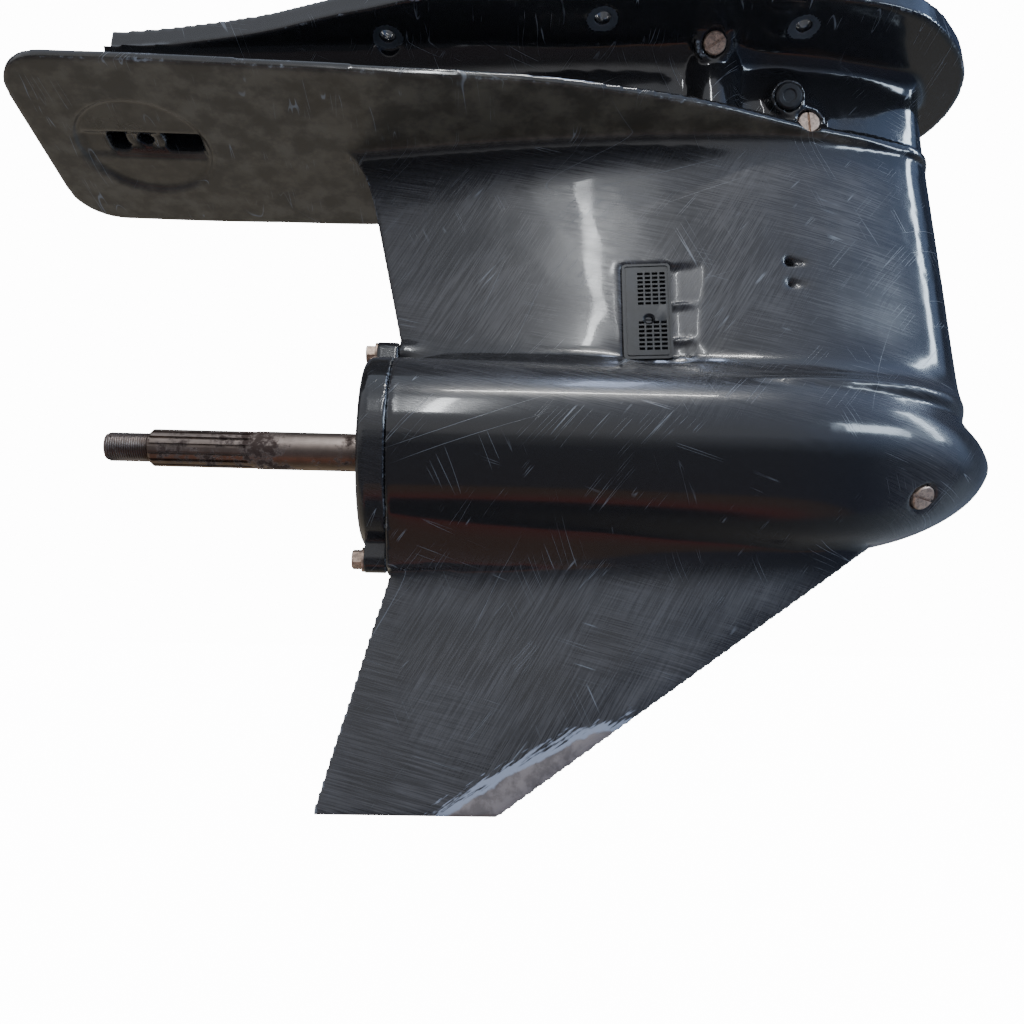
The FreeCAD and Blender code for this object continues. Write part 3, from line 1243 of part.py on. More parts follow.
def impeller_solid():
    """A hub with six vanes bent back against the liner."""
    hub_ring = cylinder(slim_r + 6.5, impeller_high, V(0, 0, 0))
    vanes = []
    for i in range(6):
        base = 60.0 * i
        points = []
        for reach, sweep in ((slim_r + 4, 0), (slim_r + 9, 5), (impeller_r - 4, 15), (impeller_r - 1.0, 22)):
            points.append((reach, math.radians(base + sweep)))
        corners = [V(reach * math.cos(a) - 1.5 * math.sin(a), reach * math.sin(a) + 1.5 * math.cos(a),
                     0) for reach, a in points]
        back = [V(reach * math.cos(a) + 1.5 * math.sin(a), reach * math.sin(a) - 1.5 * math.cos(a),
                  0) for reach, a in points]
        loop = corners + back[::-1]
        vane = Part.Face(Part.makePolygon(loop + loop[:1])).extrude(V(0, 0, impeller_high))
        bead = cylinder(1.9, impeller_high, V((impeller_r - 1.9) * math.cos(points[-1][1]),
                                              (impeller_r - 1.9) * math.sin(points[-1][1]), 0))
        vanes += [vane, bead]
    return hub_ring.fuse(vanes).cut([cylinder(slim_r + gap, 40, V(0, 0, -5)),
                                     block(0, -2.02, -1, slim_r + 2.6, 2.02, 60)])


node(shaped("pump_impeller", impeller_solid(), z=pump_floor + 0.4))
node(shaped("impeller_key", block(slim_r - 2.0 + gap, -1.98, key_low + 0.05, slim_r + 2.4, 1.98,
                                  key_high - 0.05)))


def cap_screw(head_r, head_high, shank, length):
    """A round-flanged hexagon screw standing on Z=0, its shank below."""
    hexagon = [V((head_r - 1) * math.cos(math.radians(60 * i)),
                 (head_r - 1) * math.sin(math.radians(60 * i)), 1.0) for i in range(7)]
    head = Part.Face(Part.makePolygon(hexagon)).extrude(V(0, 0, head_high - 1.0))
    return head.fuse([cylinder(head_r, 1.0, V(0, 0, 0)), cylinder(shank, length, V(0, 0, -length))])


pump_screw = cap_screw(6.2, 5.5, 3.1, 24)
node(shaped("pump_bolts", Part.Compound([
    facing(pump_screw, V(sx * pump_spread, sy * pump_spread, pump_floor + 9 + gap),
           V(0, 0, 1)) for sx in (-1, 1) for sy in (-1, 1)])))
seal_screw = cap_screw(3.9, 4.5, 2.5, 10.5)
node(shaped("shift_seal_bolts", Part.Compound([facing(seal_screw, V(0, 17 * side, 2.0 + gap),
                                                      V(0, 0, 1)) for side in (-1, 1)]),
            x=D.shift_line))
dowel = cylinder(3.98, 15, V(0, 0, -9.5)).fuse(Part.makeCone(3.98, 3.0, 1.5, V(0, 0, 5.5)))
node(shaped("dowel_pins", Part.Compound([facing(dowel, V(x, y, 0), V(0, 0, 1)) for x, y in DOWELS])))

# screens, plugs and cap

SLOT_COLUMNS = 4
SLOT_HIGH = 2.0
SLOT_PITCH = 3.3


def screen_solid():
    """A flat moulded grille: a frame round two blocks of slots, with a sunk screw hole between."""
    body = rounded_plate(window_x, 0, window_wide, window_high, 0, screen_thick - gap, 3.0)
    tools = []
    first = window_x - window_wide / 2 + 10.5
    column = (window_wide - 13.0) / SLOT_COLUMNS
    for low, rows in ((-30.0, 7), (4.5, 8)):
        for row in range(rows):
            for col in range(SLOT_COLUMNS):
                left = first + col * column
                bottom = low + row * SLOT_PITCH
                tools.append(block(left, -1, bottom, left + column - 1.2, 6, bottom + SLOT_HIGH))
    screw = Part.makeCone(4.2, 2.7, 1.6, V(window_x + 1, 0, -7 + 0.5), V(0, 1, 0))
    tools += [screw, cylinder(2.7, 8, V(window_x + 1, -1, -6.5), V(0, 1, 0))]
    relief = rounded_plate(window_x, 0, window_wide - 3.4, window_high - 3.4, -1, 0.6, 2.0)
    rim = rounded_plate(window_x, 0, window_wide - 5.4, window_high - 5.4, -2, 2, 1.6)
    tools.append(relief.cut(rim))
    return body.cut(tools)


screen = screen_solid()
node(shaped("intake_screen_starboard", on_side(screen, -1)))
node(shaped("intake_screen_port", on_side(screen, 1)))
screw_level = rise(window_level - 6.5)
screw_x = window_x + 1
screw_reach = screen_face - 1.6
screw = cylinder(2.45, 2 * screw_reach, V(screw_x, -screw_reach, screw_level), V(0, 1, 0))
node(shaped("intake_screen_screw", screw.cut(block(screw_x - 3, -screw_reach - 1, screw_level - 0.4,
                                                   screw_x + 3,
                                                  -screw_reach + 0.8, screw_level + 0.4))))


def slotted_plug(face_r, head, shank, length):
    """A flat-headed plug about +Z, its seat at Z=0, a wide driver slot across the head."""
    plug = cylinder(face_r, head - 0.8, V(0, 0, 0)).fuse([Part.makeCone(face_r, face_r - 0.8, 0.8,
                                                                        V(0, 0, head - 0.8)),
                                                          cylinder(shank, length, V(0, 0, -length))])
    return plug.cut(block(-face_r - 1, -0.9, head - 1.9, face_r + 1, 0.9, head + 1))


WASHER = 1.0
plug_solid = slotted_plug(PLUG_FACE, 3.4, 5.4, 12.0)
drain_solid = slotted_plug(PLUG_FACE, 3.0, 5.4, 8.0)
washer_ring = cylinder(PLUG_FACE - 0.2, WASHER - 0.04, V(0, 0, 0.02)).cut(cylinder(5.6, 5, V(0, 0, -1)))


def on_seat(shape, face, out, turn, lift):
    """Stands a plug on a tilted seat, its slot turned by an angle."""
    shape = shape.copy()
    shape.rotate(V(0, 0, 0), V(0, 0, 1), turn)
    shape.Placement = Placement(face + out * lift, Rotation(V(0, 0, 1), out)).multiply(shape.Placement)
    return Part.Compound([shape])


washers = []
for label, name, turn in (("flushing_plug", "flushing", 35), ("oil_level_plug", "oil_level", 95)):
    face, out, boss_radius, depth = PLUG_SEATS[name]
    node(shaped(label, on_seat(plug_solid, face, out, turn, -3.0 + WASHER)))
    washers.append(on_seat(washer_ring, face, out, 0, -3.0))
node(shaped("drain_plug", on_seat(drain_solid, drain_face, drain_out, 20, -2.0 + WASHER)))
washers.append(on_seat(washer_ring, drain_face, drain_out, 0, -2.0))
node(shaped("plug_gaskets", Part.Compound(washers)))
face, out, boss_radius, depth = PLUG_SEATS["round_cap"]
cap_solid = revolved([(-12, 0), (-12, 5.4), (0.02, 5.4), (0.02, 9.6), (3.6, 9.6), (5.0, 8.2), (5.0, 5.0),
                      (4.2, 4.4), (4.2, 0)])
node(shaped("round_cap", on_seat(cap_solid, face, out, 0, -3.0)))


def broken(item):
    """True where an object failed to build."""
    return any(word in ("Invalid", "Error") for word in item.State)


doc.recompute()
failed = [item.Label for item in doc.Objects if broken(item)]
for piece in PARTS:
    if piece.Shape.isNull() or not piece.Shape.isValid():
        failed.append(piece.Label)
if failed:
    raise RuntimeError("these pieces failed to build: " + ", ".join(failed))
os.makedirs("parts", exist_ok=True)
for piece in PARTS:
    piece.Shape.exportStep(f"parts/{piece.Label}.step")
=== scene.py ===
import math

import bmesh
import bpy
import numpy as np
from bpy.props import FloatProperty, FloatVectorProperty, IntProperty, PointerProperty
from mathutils import Matrix, Vector


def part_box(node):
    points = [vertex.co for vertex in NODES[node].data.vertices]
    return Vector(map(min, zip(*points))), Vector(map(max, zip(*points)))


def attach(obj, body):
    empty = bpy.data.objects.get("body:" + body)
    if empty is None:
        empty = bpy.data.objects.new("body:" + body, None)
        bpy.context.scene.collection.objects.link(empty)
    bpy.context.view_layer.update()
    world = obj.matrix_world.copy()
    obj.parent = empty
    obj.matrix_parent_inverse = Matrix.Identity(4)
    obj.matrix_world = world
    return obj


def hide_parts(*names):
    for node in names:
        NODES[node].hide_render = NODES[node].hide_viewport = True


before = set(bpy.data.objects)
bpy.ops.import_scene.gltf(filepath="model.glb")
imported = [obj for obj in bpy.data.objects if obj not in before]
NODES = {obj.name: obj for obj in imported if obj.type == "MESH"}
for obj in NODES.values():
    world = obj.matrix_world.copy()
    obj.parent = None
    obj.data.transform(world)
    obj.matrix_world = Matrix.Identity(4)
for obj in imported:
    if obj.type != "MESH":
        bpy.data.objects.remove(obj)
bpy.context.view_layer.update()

bl_info = {
    "name": "Outboard lower unit",
    "version": (1, 0, 0),
    "blender": (4, 5, 0),
    "location": "View3D > Sidebar > Lower unit",
    "description": "Dresses the packed outboard lower unit: cast skins, shafts, plated screws and enamel",
    "category": "Object",
}

AXIS_Z = -0.325
JOIN = 1e-6
MADE = {}


class EnamelSettings(bpy.types.PropertyGroup):
    """Colours of the painted castings"""
    gloss: FloatVectorProperty(
        name="Enamel", description="Colour of the polished enamel", subtype="COLOR",
        size=3, min=0, max=1, default=(0.0130, 0.0132, 0.0145))
    hazed: FloatVectorProperty(
        name="Hazed enamel", description="Colour where the enamel is scuffed dull", subtype="COLOR",
        size=3, min=0, max=1, default=(0.062, 0.060, 0.063))
    olive: FloatVectorProperty(
        name="Stained enamel", description="Colour of the stained underside of the plate", subtype="COLOR",
        size=3, min=0, max=1, default=(0.058, 0.050, 0.037))
    bare: FloatVectorProperty(
        name="Bare alloy", description="Colour of alloy where the paint is gone", subtype="COLOR",
        size=3, min=0, max=1, default=(0.39, 0.34, 0.325))
    primer: FloatVectorProperty(
        name="Primer", description="Colour of the primer round the bare alloy", subtype="COLOR",
        size=3, min=0, max=1, default=(0.33, 0.36, 0.44))
    seat: FloatVectorProperty(
        name="Bolt seats", description="Colour of the spot faces under the flange bolts", subtype="COLOR",
        size=3, min=0, max=1, default=(0.085, 0.095, 0.11))
    chipped: FloatVectorProperty(
        name="Chipped edge", description="Colour of rubbed edges and scratches", subtype="COLOR",
        size=3, min=0, max=1, default=(0.42, 0.46, 0.52))


class CastSettings(bpy.types.PropertyGroup):
    """How finely the cast skins are made"""
    step: FloatProperty(
        name="Skin step", description="Length of a face of the gearcase skin",
        subtype="DISTANCE", unit="LENGTH", default=0.0017, min=0.001, max=0.004)
    carrier_step: FloatProperty(
        name="Carrier step", description="Length of a face of the bearing carrier's skin",
        subtype="DISTANCE", unit="LENGTH", default=0.0010, min=0.0005, max=0.003)
    blend_passes: IntProperty(
        name="Blend passes", description="Smoothing of the hollow between torpedo and strut",
        default=260, min=0, max=800)


class MetalSettings(bpy.types.PropertyGroup):
    """Colours of the bare metals, plastics and rubber"""
    steel: FloatVectorProperty(
        name="Shaft steel", description="Colour of the stained shafts", subtype="COLOR",
        size=3, min=0, max=1, default=(0.42, 0.35, 0.31))
    gear: FloatVectorProperty(
        name="Gear steel", description="Colour of hardened gears", subtype="COLOR",
        size=3, min=0, max=1, default=(0.33, 0.33, 0.35))
    bright: FloatVectorProperty(
        name="Polished steel", description="Colour of races, rollers and small screws", subtype="COLOR",
        size=3, min=0, max=1, default=(0.60, 0.60, 0.62))
    bronze: FloatVectorProperty(
        name="Plated screws", description="Colour of the bronze-coloured plugs and bolts", subtype="COLOR",
        size=3, min=0, max=1, default=(0.74, 0.56, 0.44))
    alloy: FloatVectorProperty(
        name="Machined alloy", description="Colour of the seal carriers", subtype="COLOR",
        size=3, min=0, max=1, default=(0.55, 0.56, 0.58))
    plastic: FloatVectorProperty(
        name="Moulded plastic", description="Colour of screens, cap and pump housing", subtype="COLOR",
        size=3, min=0, max=1, default=(0.012, 0.013, 0.015))
    rubber: FloatVectorProperty(
        name="Rubber", description="Colour of seals and impeller", subtype="COLOR",
        size=3, min=0, max=1, default=(0.020, 0.020, 0.021))


class ShaftSettings(bpy.types.PropertyGroup):
    """Sizes of the propeller shaft's threaded end"""
    pitch: FloatProperty(
        name="Thread pitch", description="Pitch of the propeller nut's thread",
        subtype="DISTANCE", unit="LENGTH", default=0.0015, min=0.0005, max=0.004)
    depth: FloatProperty(
        name="Thread depth", description="Depth of the thread",
        subtype="DISTANCE", unit="LENGTH", default=0.0008, min=0.0002, max=0.002)


class StageSettings(bpy.types.PropertyGroup):
    """Floor, lamps and camera"""
    floor_level: FloatProperty(
        name="Floor level", description="Height of the floor", subtype="DISTANCE", unit="LENGTH",
        default=-0.78)
    lens: FloatProperty(
        name="Lens", description="Focal length of the camera", subtype="DISTANCE_CAMERA",
        unit="CAMERA", default=33.9, min=10, max=200)
    key_power: FloatProperty(
        name="Lamp power", description="Power that every lamp takes its share of",
        subtype="POWER", unit="POWER", default=6.0, min=0)
    backdrop: FloatProperty(
        name="Backdrop", description="Brightness of the floor and backdrop to the eye",
        default=14.0, min=0, max=40)


class Shades:
    """Adds and joins the nodes of one tree."""

    def __init__(self, tree):
        self.tree = tree

    def add(self, kind, **values):
        made = self.tree.nodes.new("ShaderNode" + kind)
        for name, value in values.items():
            setattr(made, name, value)
        return made

    def feed(self, source, target):
        self.tree.links.new(source, target)

    def maths(self, how, first, second=0.5, clamp=False):
        made = self.add("Math", operation=how, use_clamp=clamp)
        self.put(first, made.inputs[0])
        self.put(second, made.inputs[1])
        return made.outputs[0]

    def put(self, value, socket):
        if isinstance(value, bpy.types.NodeSocket):
            self.feed(value, socket)
        else:
            socket.default_value = value

    def ramp(self, source, low, high):
        """0 below low and 1 above high, smoothly."""
        made = self.add("MapRange", interpolation_type="SMOOTHSTEP")
        self.feed(source, made.inputs["Value"])
        made.inputs["From Min"].default_value = low
        made.inputs["From Max"].default_value = high
        return made.outputs["Result"]

    def blend(self, factor, first, second, how="MIX"):
        made = self.add("Mix", data_type="RGBA", blend_type=how)
        self.put(factor, made.inputs[0])
        self.put(first, made.inputs[6])
        self.put(second, made.inputs[7])
        return made.outputs[2]

    def between(self, factor, first, second):
        made = self.add("Mix", data_type="FLOAT")
        self.put(factor, made.inputs[0])
        self.put(first, made.inputs[2])
        self.put(second, made.inputs[3])
        return made.outputs[0]

    def noise(self, place, scale, detail=3.0, rough=0.55):
        made = self.add("TexNoise")
        self.feed(place, made.inputs["Vector"])
        self.put(scale, made.inputs["Scale"])
        made.inputs["Detail"].default_value = detail
        made.inputs["Roughness"].default_value = rough
        return made.outputs["Fac"]

    def stretched(self, place, turn, cell):
        """Object coordinates turned, then counted in cells of the given lengths."""
        made = self.add("Mapping", vector_type="TEXTURE")
        self.feed(place, made.inputs["Vector"])
        made.inputs["Rotation"].default_value = turn
        made.inputs["Scale"].default_value = cell
        return made.outputs["Vector"]

    def line(self, source, level, width):
        """1 along the contour of a noise at a level, 0 away from it."""
        off = self.maths("ABSOLUTE", self.maths("SUBTRACT", source, level))
        return self.maths("SUBTRACT", 1.0, self.ramp(off, 0.25 * width, width))

    def steps(self, source, stops):
        """A colour ramp over -1 to 1 with the given (place, colour) stops."""
        share = self.add("MapRange")
        self.feed(source, share.inputs["Value"])
        share.inputs["From Min"].default_value = -1.0
        made = self.add("ValToRGB")
        self.feed(share.outputs["Result"], made.inputs["Fac"])
        marks = made.color_ramp.elements
        while len(marks) < len(stops):
            marks.new(1.0)
        for mark, (place, tint) in zip(marks, stops):
            mark.position = (place + 1) / 2
            mark.color = (*tint, 1)
        return made.outputs["Color"]

    def painted(self, name):
        made = self.add("Attribute", attribute_name=name)
        return made.outputs["Fac"]

    def place(self):
        return self.add("TexCoord").outputs["Object"]


def new_group(name, inputs, outputs):
    """A shader node group with float inputs and outputs, (group, Shades, inputs, outputs)."""
    group = bpy.data.node_groups.new(name, "ShaderNodeTree")
    for label, default in inputs:
        socket = group.interface.new_socket(label, in_out="INPUT", socket_type="NodeSocketFloat")
        socket.default_value = default
    for label in outputs:
        group.interface.new_socket(label, in_out="OUTPUT", socket_type="NodeSocketFloat")
    into = group.nodes.new("NodeGroupInput")
    out = group.nodes.new("NodeGroupOutput")
    return group, Shades(group), into.outputs, out.inputs


# turn, cell, level and width of the line, size of its patches
SCRATCHES = (
    ((0, 0.30, 0), (0.40, 0.10, 0.0050), 0.60, 0.010, 24.0),
    ((0, -0.85, 0), (0.36, 0.10, 0.0042), 0.61, 0.011, 27.0),
    ((0, 1.15, 0), (0.45, 0.10, 0.0060), 0.60, 0.009, 21.0),
    ((0, 2.25, 0), (0.30, 0.10, 0.0040), 0.62, 0.011, 31.0),
    ((0, -0.35, 0), (1.30, 0.20, 0.0550), 0.53, 0.0011, 7.0),
    ((0, 1.95, 0), (1.50, 0.20, 0.0700), 0.50, 0.0010, 6.0),
)


def scratch_group():
    """Hairline scratches in several directions, each in patches of its own, and fine rubbing."""
    group, s, given, out = new_group("hairline_scratches", [("Amount", 0.5)], ["Lines", "Rubbing"])
    place = s.place()
    lines = None
    for number, (turn, cell, level, width, patch) in enumerate(SCRATCHES):
        drawn = s.noise(s.stretched(place, turn, cell), 1.0, 0.0, 0.4)
        moved = s.add("VectorMath", operation="ADD")
        s.feed(place, moved.inputs[0])
        moved.inputs[1].default_value = (0.37 * number, 0.11, 0.23 * number)
        patches = s.ramp(s.noise(moved.outputs[0], patch, 2.0, 0.5), 0.58, 0.68)
        found = s.maths("MULTIPLY", s.line(drawn, level, width), patches)
        lines = found if lines is None else s.maths("MAXIMUM", lines, found)
    s.feed(s.maths("MULTIPLY", lines, given["Amount"], True), out["Lines"])
    fine = s.noise(s.stretched(place, (0, 0.25, 0), (0.035, 0.020, 0.0007)), 1.0, 2.0, 0.6)
    cross = s.noise(s.stretched(place, (0, -1.05, 0), (0.028, 0.020, 0.0008)), 1.0, 2.0, 0.6)
    share = s.ramp(s.noise(place, 8.0, 2.0, 0.5), 0.40, 0.60)
    s.feed(s.between(share, fine, cross), out["Rubbing"])
    return group


def wear_group():
    """Rubbed edges: the painted edge mask, broken up into chips."""
    group, s, given, out = new_group("edge_wear", [("Amount", 0.5), ("Grain", 260.0)], ["Mask"])
    place = s.place()
    broken = s.noise(place, given["Grain"], 4.0, 0.7)
    patchy = s.noise(place, 34.0, 3.0, 0.6)
    level = s.maths("MULTIPLY", s.painted("edge"), s.maths("MULTIPLY", broken, patchy))
    level = s.maths("MULTIPLY", level, given["Amount"])
    s.feed(s.ramp(level, 0.16, 0.30), out["Mask"])
    return group


def grain_group():
    """Fine cast or blasted grain, as a height, and a slow stain."""
    group, s, given, out = new_group("cast_grain", [("Fine", 1400.0), ("Slow", 30.0)], ["Height", "Stain"])
    place = s.place()
    s.feed(s.noise(place, given["Fine"], 3.0, 0.6), out["Height"])
    s.feed(s.noise(place, given["Slow"], 4.0, 0.62), out["Stain"])
    return group


def machining_group():
    """Turning marks round the X axis, and blotches of rust."""
    group, s, given, out = new_group("machining", [("Fine", 2600.0), ("Rust", 0.5)], ["Marks", "Rust"])
    place = s.place()
    parts = s.add("SeparateXYZ")
    s.feed(place, parts.inputs[0])
    along = s.add("CombineXYZ")
    s.feed(parts.outputs["X"], along.inputs["X"])
    s.feed(s.noise(along.outputs[0], given["Fine"], 2.0, 0.5), out["Marks"])
    speck = s.noise(place, 160.0, 5.0, 0.7)
    broad = s.noise(place, 34.0, 3.0, 0.6)
    level = s.maths("MULTIPLY", speck, broad)
    level = s.maths("MULTIPLY", level, s.maths("ADD", given["Rust"], 0.5))
    s.feed(s.ramp(level, 0.24, 0.36), out["Rust"])
    return group


def use_group(s, group, **values):
    made = s.add("Group")
    made.node_tree = group
    for name, value in values.items():
        made.inputs[name].default_value = value
    return made.outputs


def new_material(name):
    made = bpy.data.materials.new(name)
    made.use_nodes = True
    s = Shades(made.node_tree)
    return made, s, made.node_tree.nodes["Principled BSDF"].inputs


def bumped(s, sockets, height, strength, distance):
    bump = s.add("Bump")
    bump.inputs["Strength"].default_value = strength
    bump.inputs["Distance"].default_value = distance
    s.put(height, bump.inputs["Height"])
    s.feed(bump.outputs[0], sockets["Normal"])


def colour(value, share=1.0):
    """An opaque colour at a share of its brightness."""
    return (*(share * c for c in value), 1.0)


def enamel_material(groups, look):
    """Gloss enamel over cast alloy: hazed by rubbing, stained under the plate, chipped and scratched."""
    made, s, sockets = new_material("black_enamel")
    scratch = use_group(s, groups["scratches"], Amount=0.8)
    wear = use_group(s, groups["wear"], Amount=1.0)
    grain = use_group(s, groups["grain"], Fine=900.0, Slow=13.0)
    place = s.place()
    cloud = s.ramp(grain["Stain"], 0.34, 0.66)
    rubbing = s.ramp(scratch["Rubbing"], 0.35, 0.68)
    haze = s.maths("MULTIPLY", s.painted("haze"), s.between(cloud, 0.55, 1.1), True)
    stain = s.maths("MULTIPLY", s.painted("olive"), s.between(cloud, 0.75, 1.15), True)
    hazed = s.blend(rubbing, colour(look.hazed, 0.62), colour(look.hazed, 1.45))
    shade = s.blend(haze, colour(look.gloss), hazed)
    mottle = s.ramp(s.noise(place, 55.0, 5.0, 0.62), 0.38, 0.66)
    stained = s.blend(mottle, colour(look.olive), colour(look.olive, 1.9))
    shade = s.blend(stain, shade, stained)
    shade = s.blend(s.maths("MULTIPLY", scratch["Lines"], 0.36), shade, colour(look.chipped))
    shade = s.blend(s.maths("MULTIPLY", wear["Mask"], 0.55), shade, colour(look.chipped))
    bare, primer = rubbed_toe_masks(s)
    dulled = s.ramp(s.noise(place, 95.0, 5.0, 0.6), 0.40, 0.62)
    metal_tone = s.blend(dulled, colour(look.bare), colour(look.bare, 0.62))
    shade = s.blend(primer, shade, colour(look.primer))
    shade = s.blend(bare, shade, metal_tone)
    seat = s.ramp(s.painted("seat"), 0.45, 0.55)
    shade = s.blend(seat, shade, colour(look.seat))
    s.feed(shade, sockets["Base Color"])
    rough = s.between(haze, 0.12, s.between(rubbing, 0.30, 0.42))
    rough = s.between(stain, rough, 0.46)
    rough = s.between(scratch["Lines"], rough, 0.5)
    rough = s.between(s.maths("MAXIMUM", primer, bare), rough, 0.50)
    rough = s.between(seat, rough, 0.45)
    s.feed(rough, sockets["Roughness"])
    metal = s.maths("MAXIMUM", s.maths("MULTIPLY", bare, 0.55), s.maths("MULTIPLY", seat, 0.35))
    s.feed(metal, sockets["Metallic"])
    sockets["Specular IOR Level"].default_value = 0.55
    sockets["Coat Roughness"].default_value = 0.05
    covered = s.maths("MAXIMUM", s.maths("MAXIMUM", haze, stain), s.maths("MAXIMUM", primer, seat))
    s.feed(s.between(covered, 0.6, 0.05), sockets["Coat Weight"])
    height = s.maths("MULTIPLY", grain["Height"], s.between(haze, 0.04, 0.25))
    height = s.maths("ADD", height, s.maths("MULTIPLY", rubbing, s.maths("MULTIPLY", haze, 0.35)))
    height = s.maths("SUBTRACT", height, scratch["Lines"])
    height = s.maths("SUBTRACT", height, s.maths("MULTIPLY", bare, 2.0))
    bumped(s, sockets, height, 0.3, 0.0001)
    return made


def rubbed_toe_masks(s):
    """The rubbed toe of the skeg: bare metal, and the band and streaks of primer round it."""
    place = s.place()
    streaks = s.noise(s.stretched(place, (0, -0.62, 0), (0.016, 0.02, 0.0016)), 1.0, 3.0, 0.6)
    broad = s.noise(place, 60.0, 4.0, 0.6)
    level = s.painted("bare")
    rough_edge = s.maths("ADD", level, s.maths("MULTIPLY", s.maths("SUBTRACT", broad, 0.5), 0.22))
    bare = s.ramp(rough_edge, 0.63, 0.665)
    torn = s.maths("ADD", rough_edge, s.maths("MULTIPLY", s.maths("SUBTRACT", streaks, 0.5), 0.55))
    primer = s.ramp(torn, 0.50, 0.56)
    return bare, s.maths("MAXIMUM", bare, primer)


RUST = (0.060, 0.036, 0.028)
DIRT = (0.10, 0.055, 0.035)


def steel_material(name, groups, tone, rust, rough, marks=0.5):
    """Turned steel with rust in blotches."""
    made, s, sockets = new_material(name)
    cut = use_group(s, groups["machining"], Rust=rust)
    grain = use_group(s, groups["grain"], Fine=1800.0, Slow=70.0)
    shade = s.blend(s.maths("MULTIPLY", cut["Marks"], marks), colour(tone), colour(tone, 0.45))
    shade = s.blend(s.ramp(grain["Stain"], 0.42, 0.62), shade, colour(tone, 0.7))
    shade = s.blend(cut["Rust"], shade, colour(RUST))
    s.feed(shade, sockets["Base Color"])
    s.feed(s.between(cut["Rust"], s.between(grain["Stain"], rough, rough + 0.12), 0.7), sockets["Roughness"])
    s.feed(s.between(cut["Rust"], 1.0, 0.25), sockets["Metallic"])
    height = s.maths("ADD", cut["Marks"], s.maths("MULTIPLY", grain["Height"], 0.6))
    bumped(s, sockets, height, 0.25, 0.00008)
    return made


def plated_material(groups, tone):
    """Bronze-coloured plating, dulled in slow patches and specked with dirt."""
    made, s, sockets = new_material("bronze_plating")
    grain = use_group(s, groups["grain"], Fine=700.0, Slow=420.0)
    speck = s.ramp(s.noise(s.place(), 900.0, 4.0, 0.7), 0.56, 0.68)
    dull = s.blend(s.ramp(grain["Stain"], 0.40, 0.64), colour(tone), colour(tone, 0.62))
    shade = s.blend(s.maths("MULTIPLY", speck, 0.8), dull, colour(DIRT))
    s.feed(shade, sockets["Base Color"])
    s.feed(s.between(grain["Stain"], 0.30, 0.58), sockets["Roughness"])
    sockets["Metallic"].default_value = 0.75
    bumped(s, sockets, grain["Height"], 0.35, 0.00015)
    return made


def moulded_material(name, groups, tone, rough, grain_size=2200.0, strength=0.3, spread=0.1):
    """Moulded plastic or rubber with a fine grain and finger-dull patches."""
    made, s, sockets = new_material(name)
    grain = use_group(s, groups["grain"], Fine=grain_size, Slow=60.0)
    shade = s.blend(s.ramp(grain["Stain"], 0.42, 0.72), colour(tone), colour(tone, 2.2))
    s.feed(shade, sockets["Base Color"])
    s.feed(s.between(grain["Stain"], rough, rough + spread), sockets["Roughness"])
    bumped(s, sockets, grain["Height"], strength, 0.00008)
    return made


def shared_materials():
    """Every material of the unit by name, made once."""
    if "enamel" in MADE:
        return MADE
    groups = {"scratches": scratch_group(), "wear": wear_group(),
              "grain": grain_group(), "machining": machining_group()}
    look = bpy.context.scene.unit_enamel
    metal = bpy.context.scene.unit_metal
    MADE["enamel"] = enamel_material(groups, look)
    MADE["shaft"] = steel_material("shaft_steel", groups, metal.steel, 0.55, 0.34)
    MADE["gear"] = steel_material("gear_steel", groups, metal.gear, 0.0, 0.30, 0.3)
    MADE["bright"] = steel_material("bearing_steel", groups, metal.bright, 0.0, 0.14, 0.15)
    MADE["stainless"] = steel_material("stainless_steel", groups, metal.bright, 0.1, 0.28, 0.2)
    MADE["screw"] = steel_material("dulled_screw", groups, colour(metal.bright, 0.14)[:3], 0.2, 0.36, 0.2)
    MADE["bronze"] = plated_material(groups, metal.bronze)
    MADE["alloy"] = steel_material("machined_alloy", groups, metal.alloy, 0.0, 0.33, 0.35)
    MADE["plastic"] = moulded_material("moulded_plastic", groups, metal.plastic, 0.32)
    MADE["rubber"] = moulded_material("seal_rubber", groups, metal.rubber, 0.55, 1500.0, 0.5)
    return MADE


def wear_finish(piece, key):
    piece.data.materials.clear()
    piece.data.materials.append(shared_materials()[key])


def grid_of(mesh):
    """Vertex places, edges and the count of neighbours, as arrays."""
    places = np.empty(len(mesh.vertices) * 3)
    mesh.vertices.foreach_get("co", places)
    edges = np.empty(len(mesh.edges) * 2, np.int64)
    mesh.edges.foreach_get("vertices", edges)
    edges = edges.reshape(-1, 2)
    count = np.bincount(edges.ravel(), minlength=len(mesh.vertices)).astype(float)
    return places.reshape(-1, 3), edges, np.maximum(count, 1)


def evened(values, edges, count):
    """The mean of each vertex's neighbours, for one or three values a vertex."""
    flat = values.reshape(len(values), -1)
    out = np.empty_like(flat)
    for k in range(flat.shape[1]):
        out[:, k] = (np.bincount(edges[:, 0], flat[edges[:, 1], k], len(flat))
                     + np.bincount(edges[:, 1], flat[edges[:, 0], k], len(flat)))
    return (out / count[:, None]).reshape(values.shape)


def fair(places, edges, count, passes, weight=0.5, hold=0.53):
    """Smooths steps away without shrinking the form."""
    for _ in range(passes):
        places = places + weight * (evened(places, edges, count) - places)
        places = places - hold * (evened(places, edges, count) - places)
    return places


def step_up(value, low, high):
    t = np.clip((value - low) / (high - low), 0, 1)
    return t * t * (3 - 2 * t)


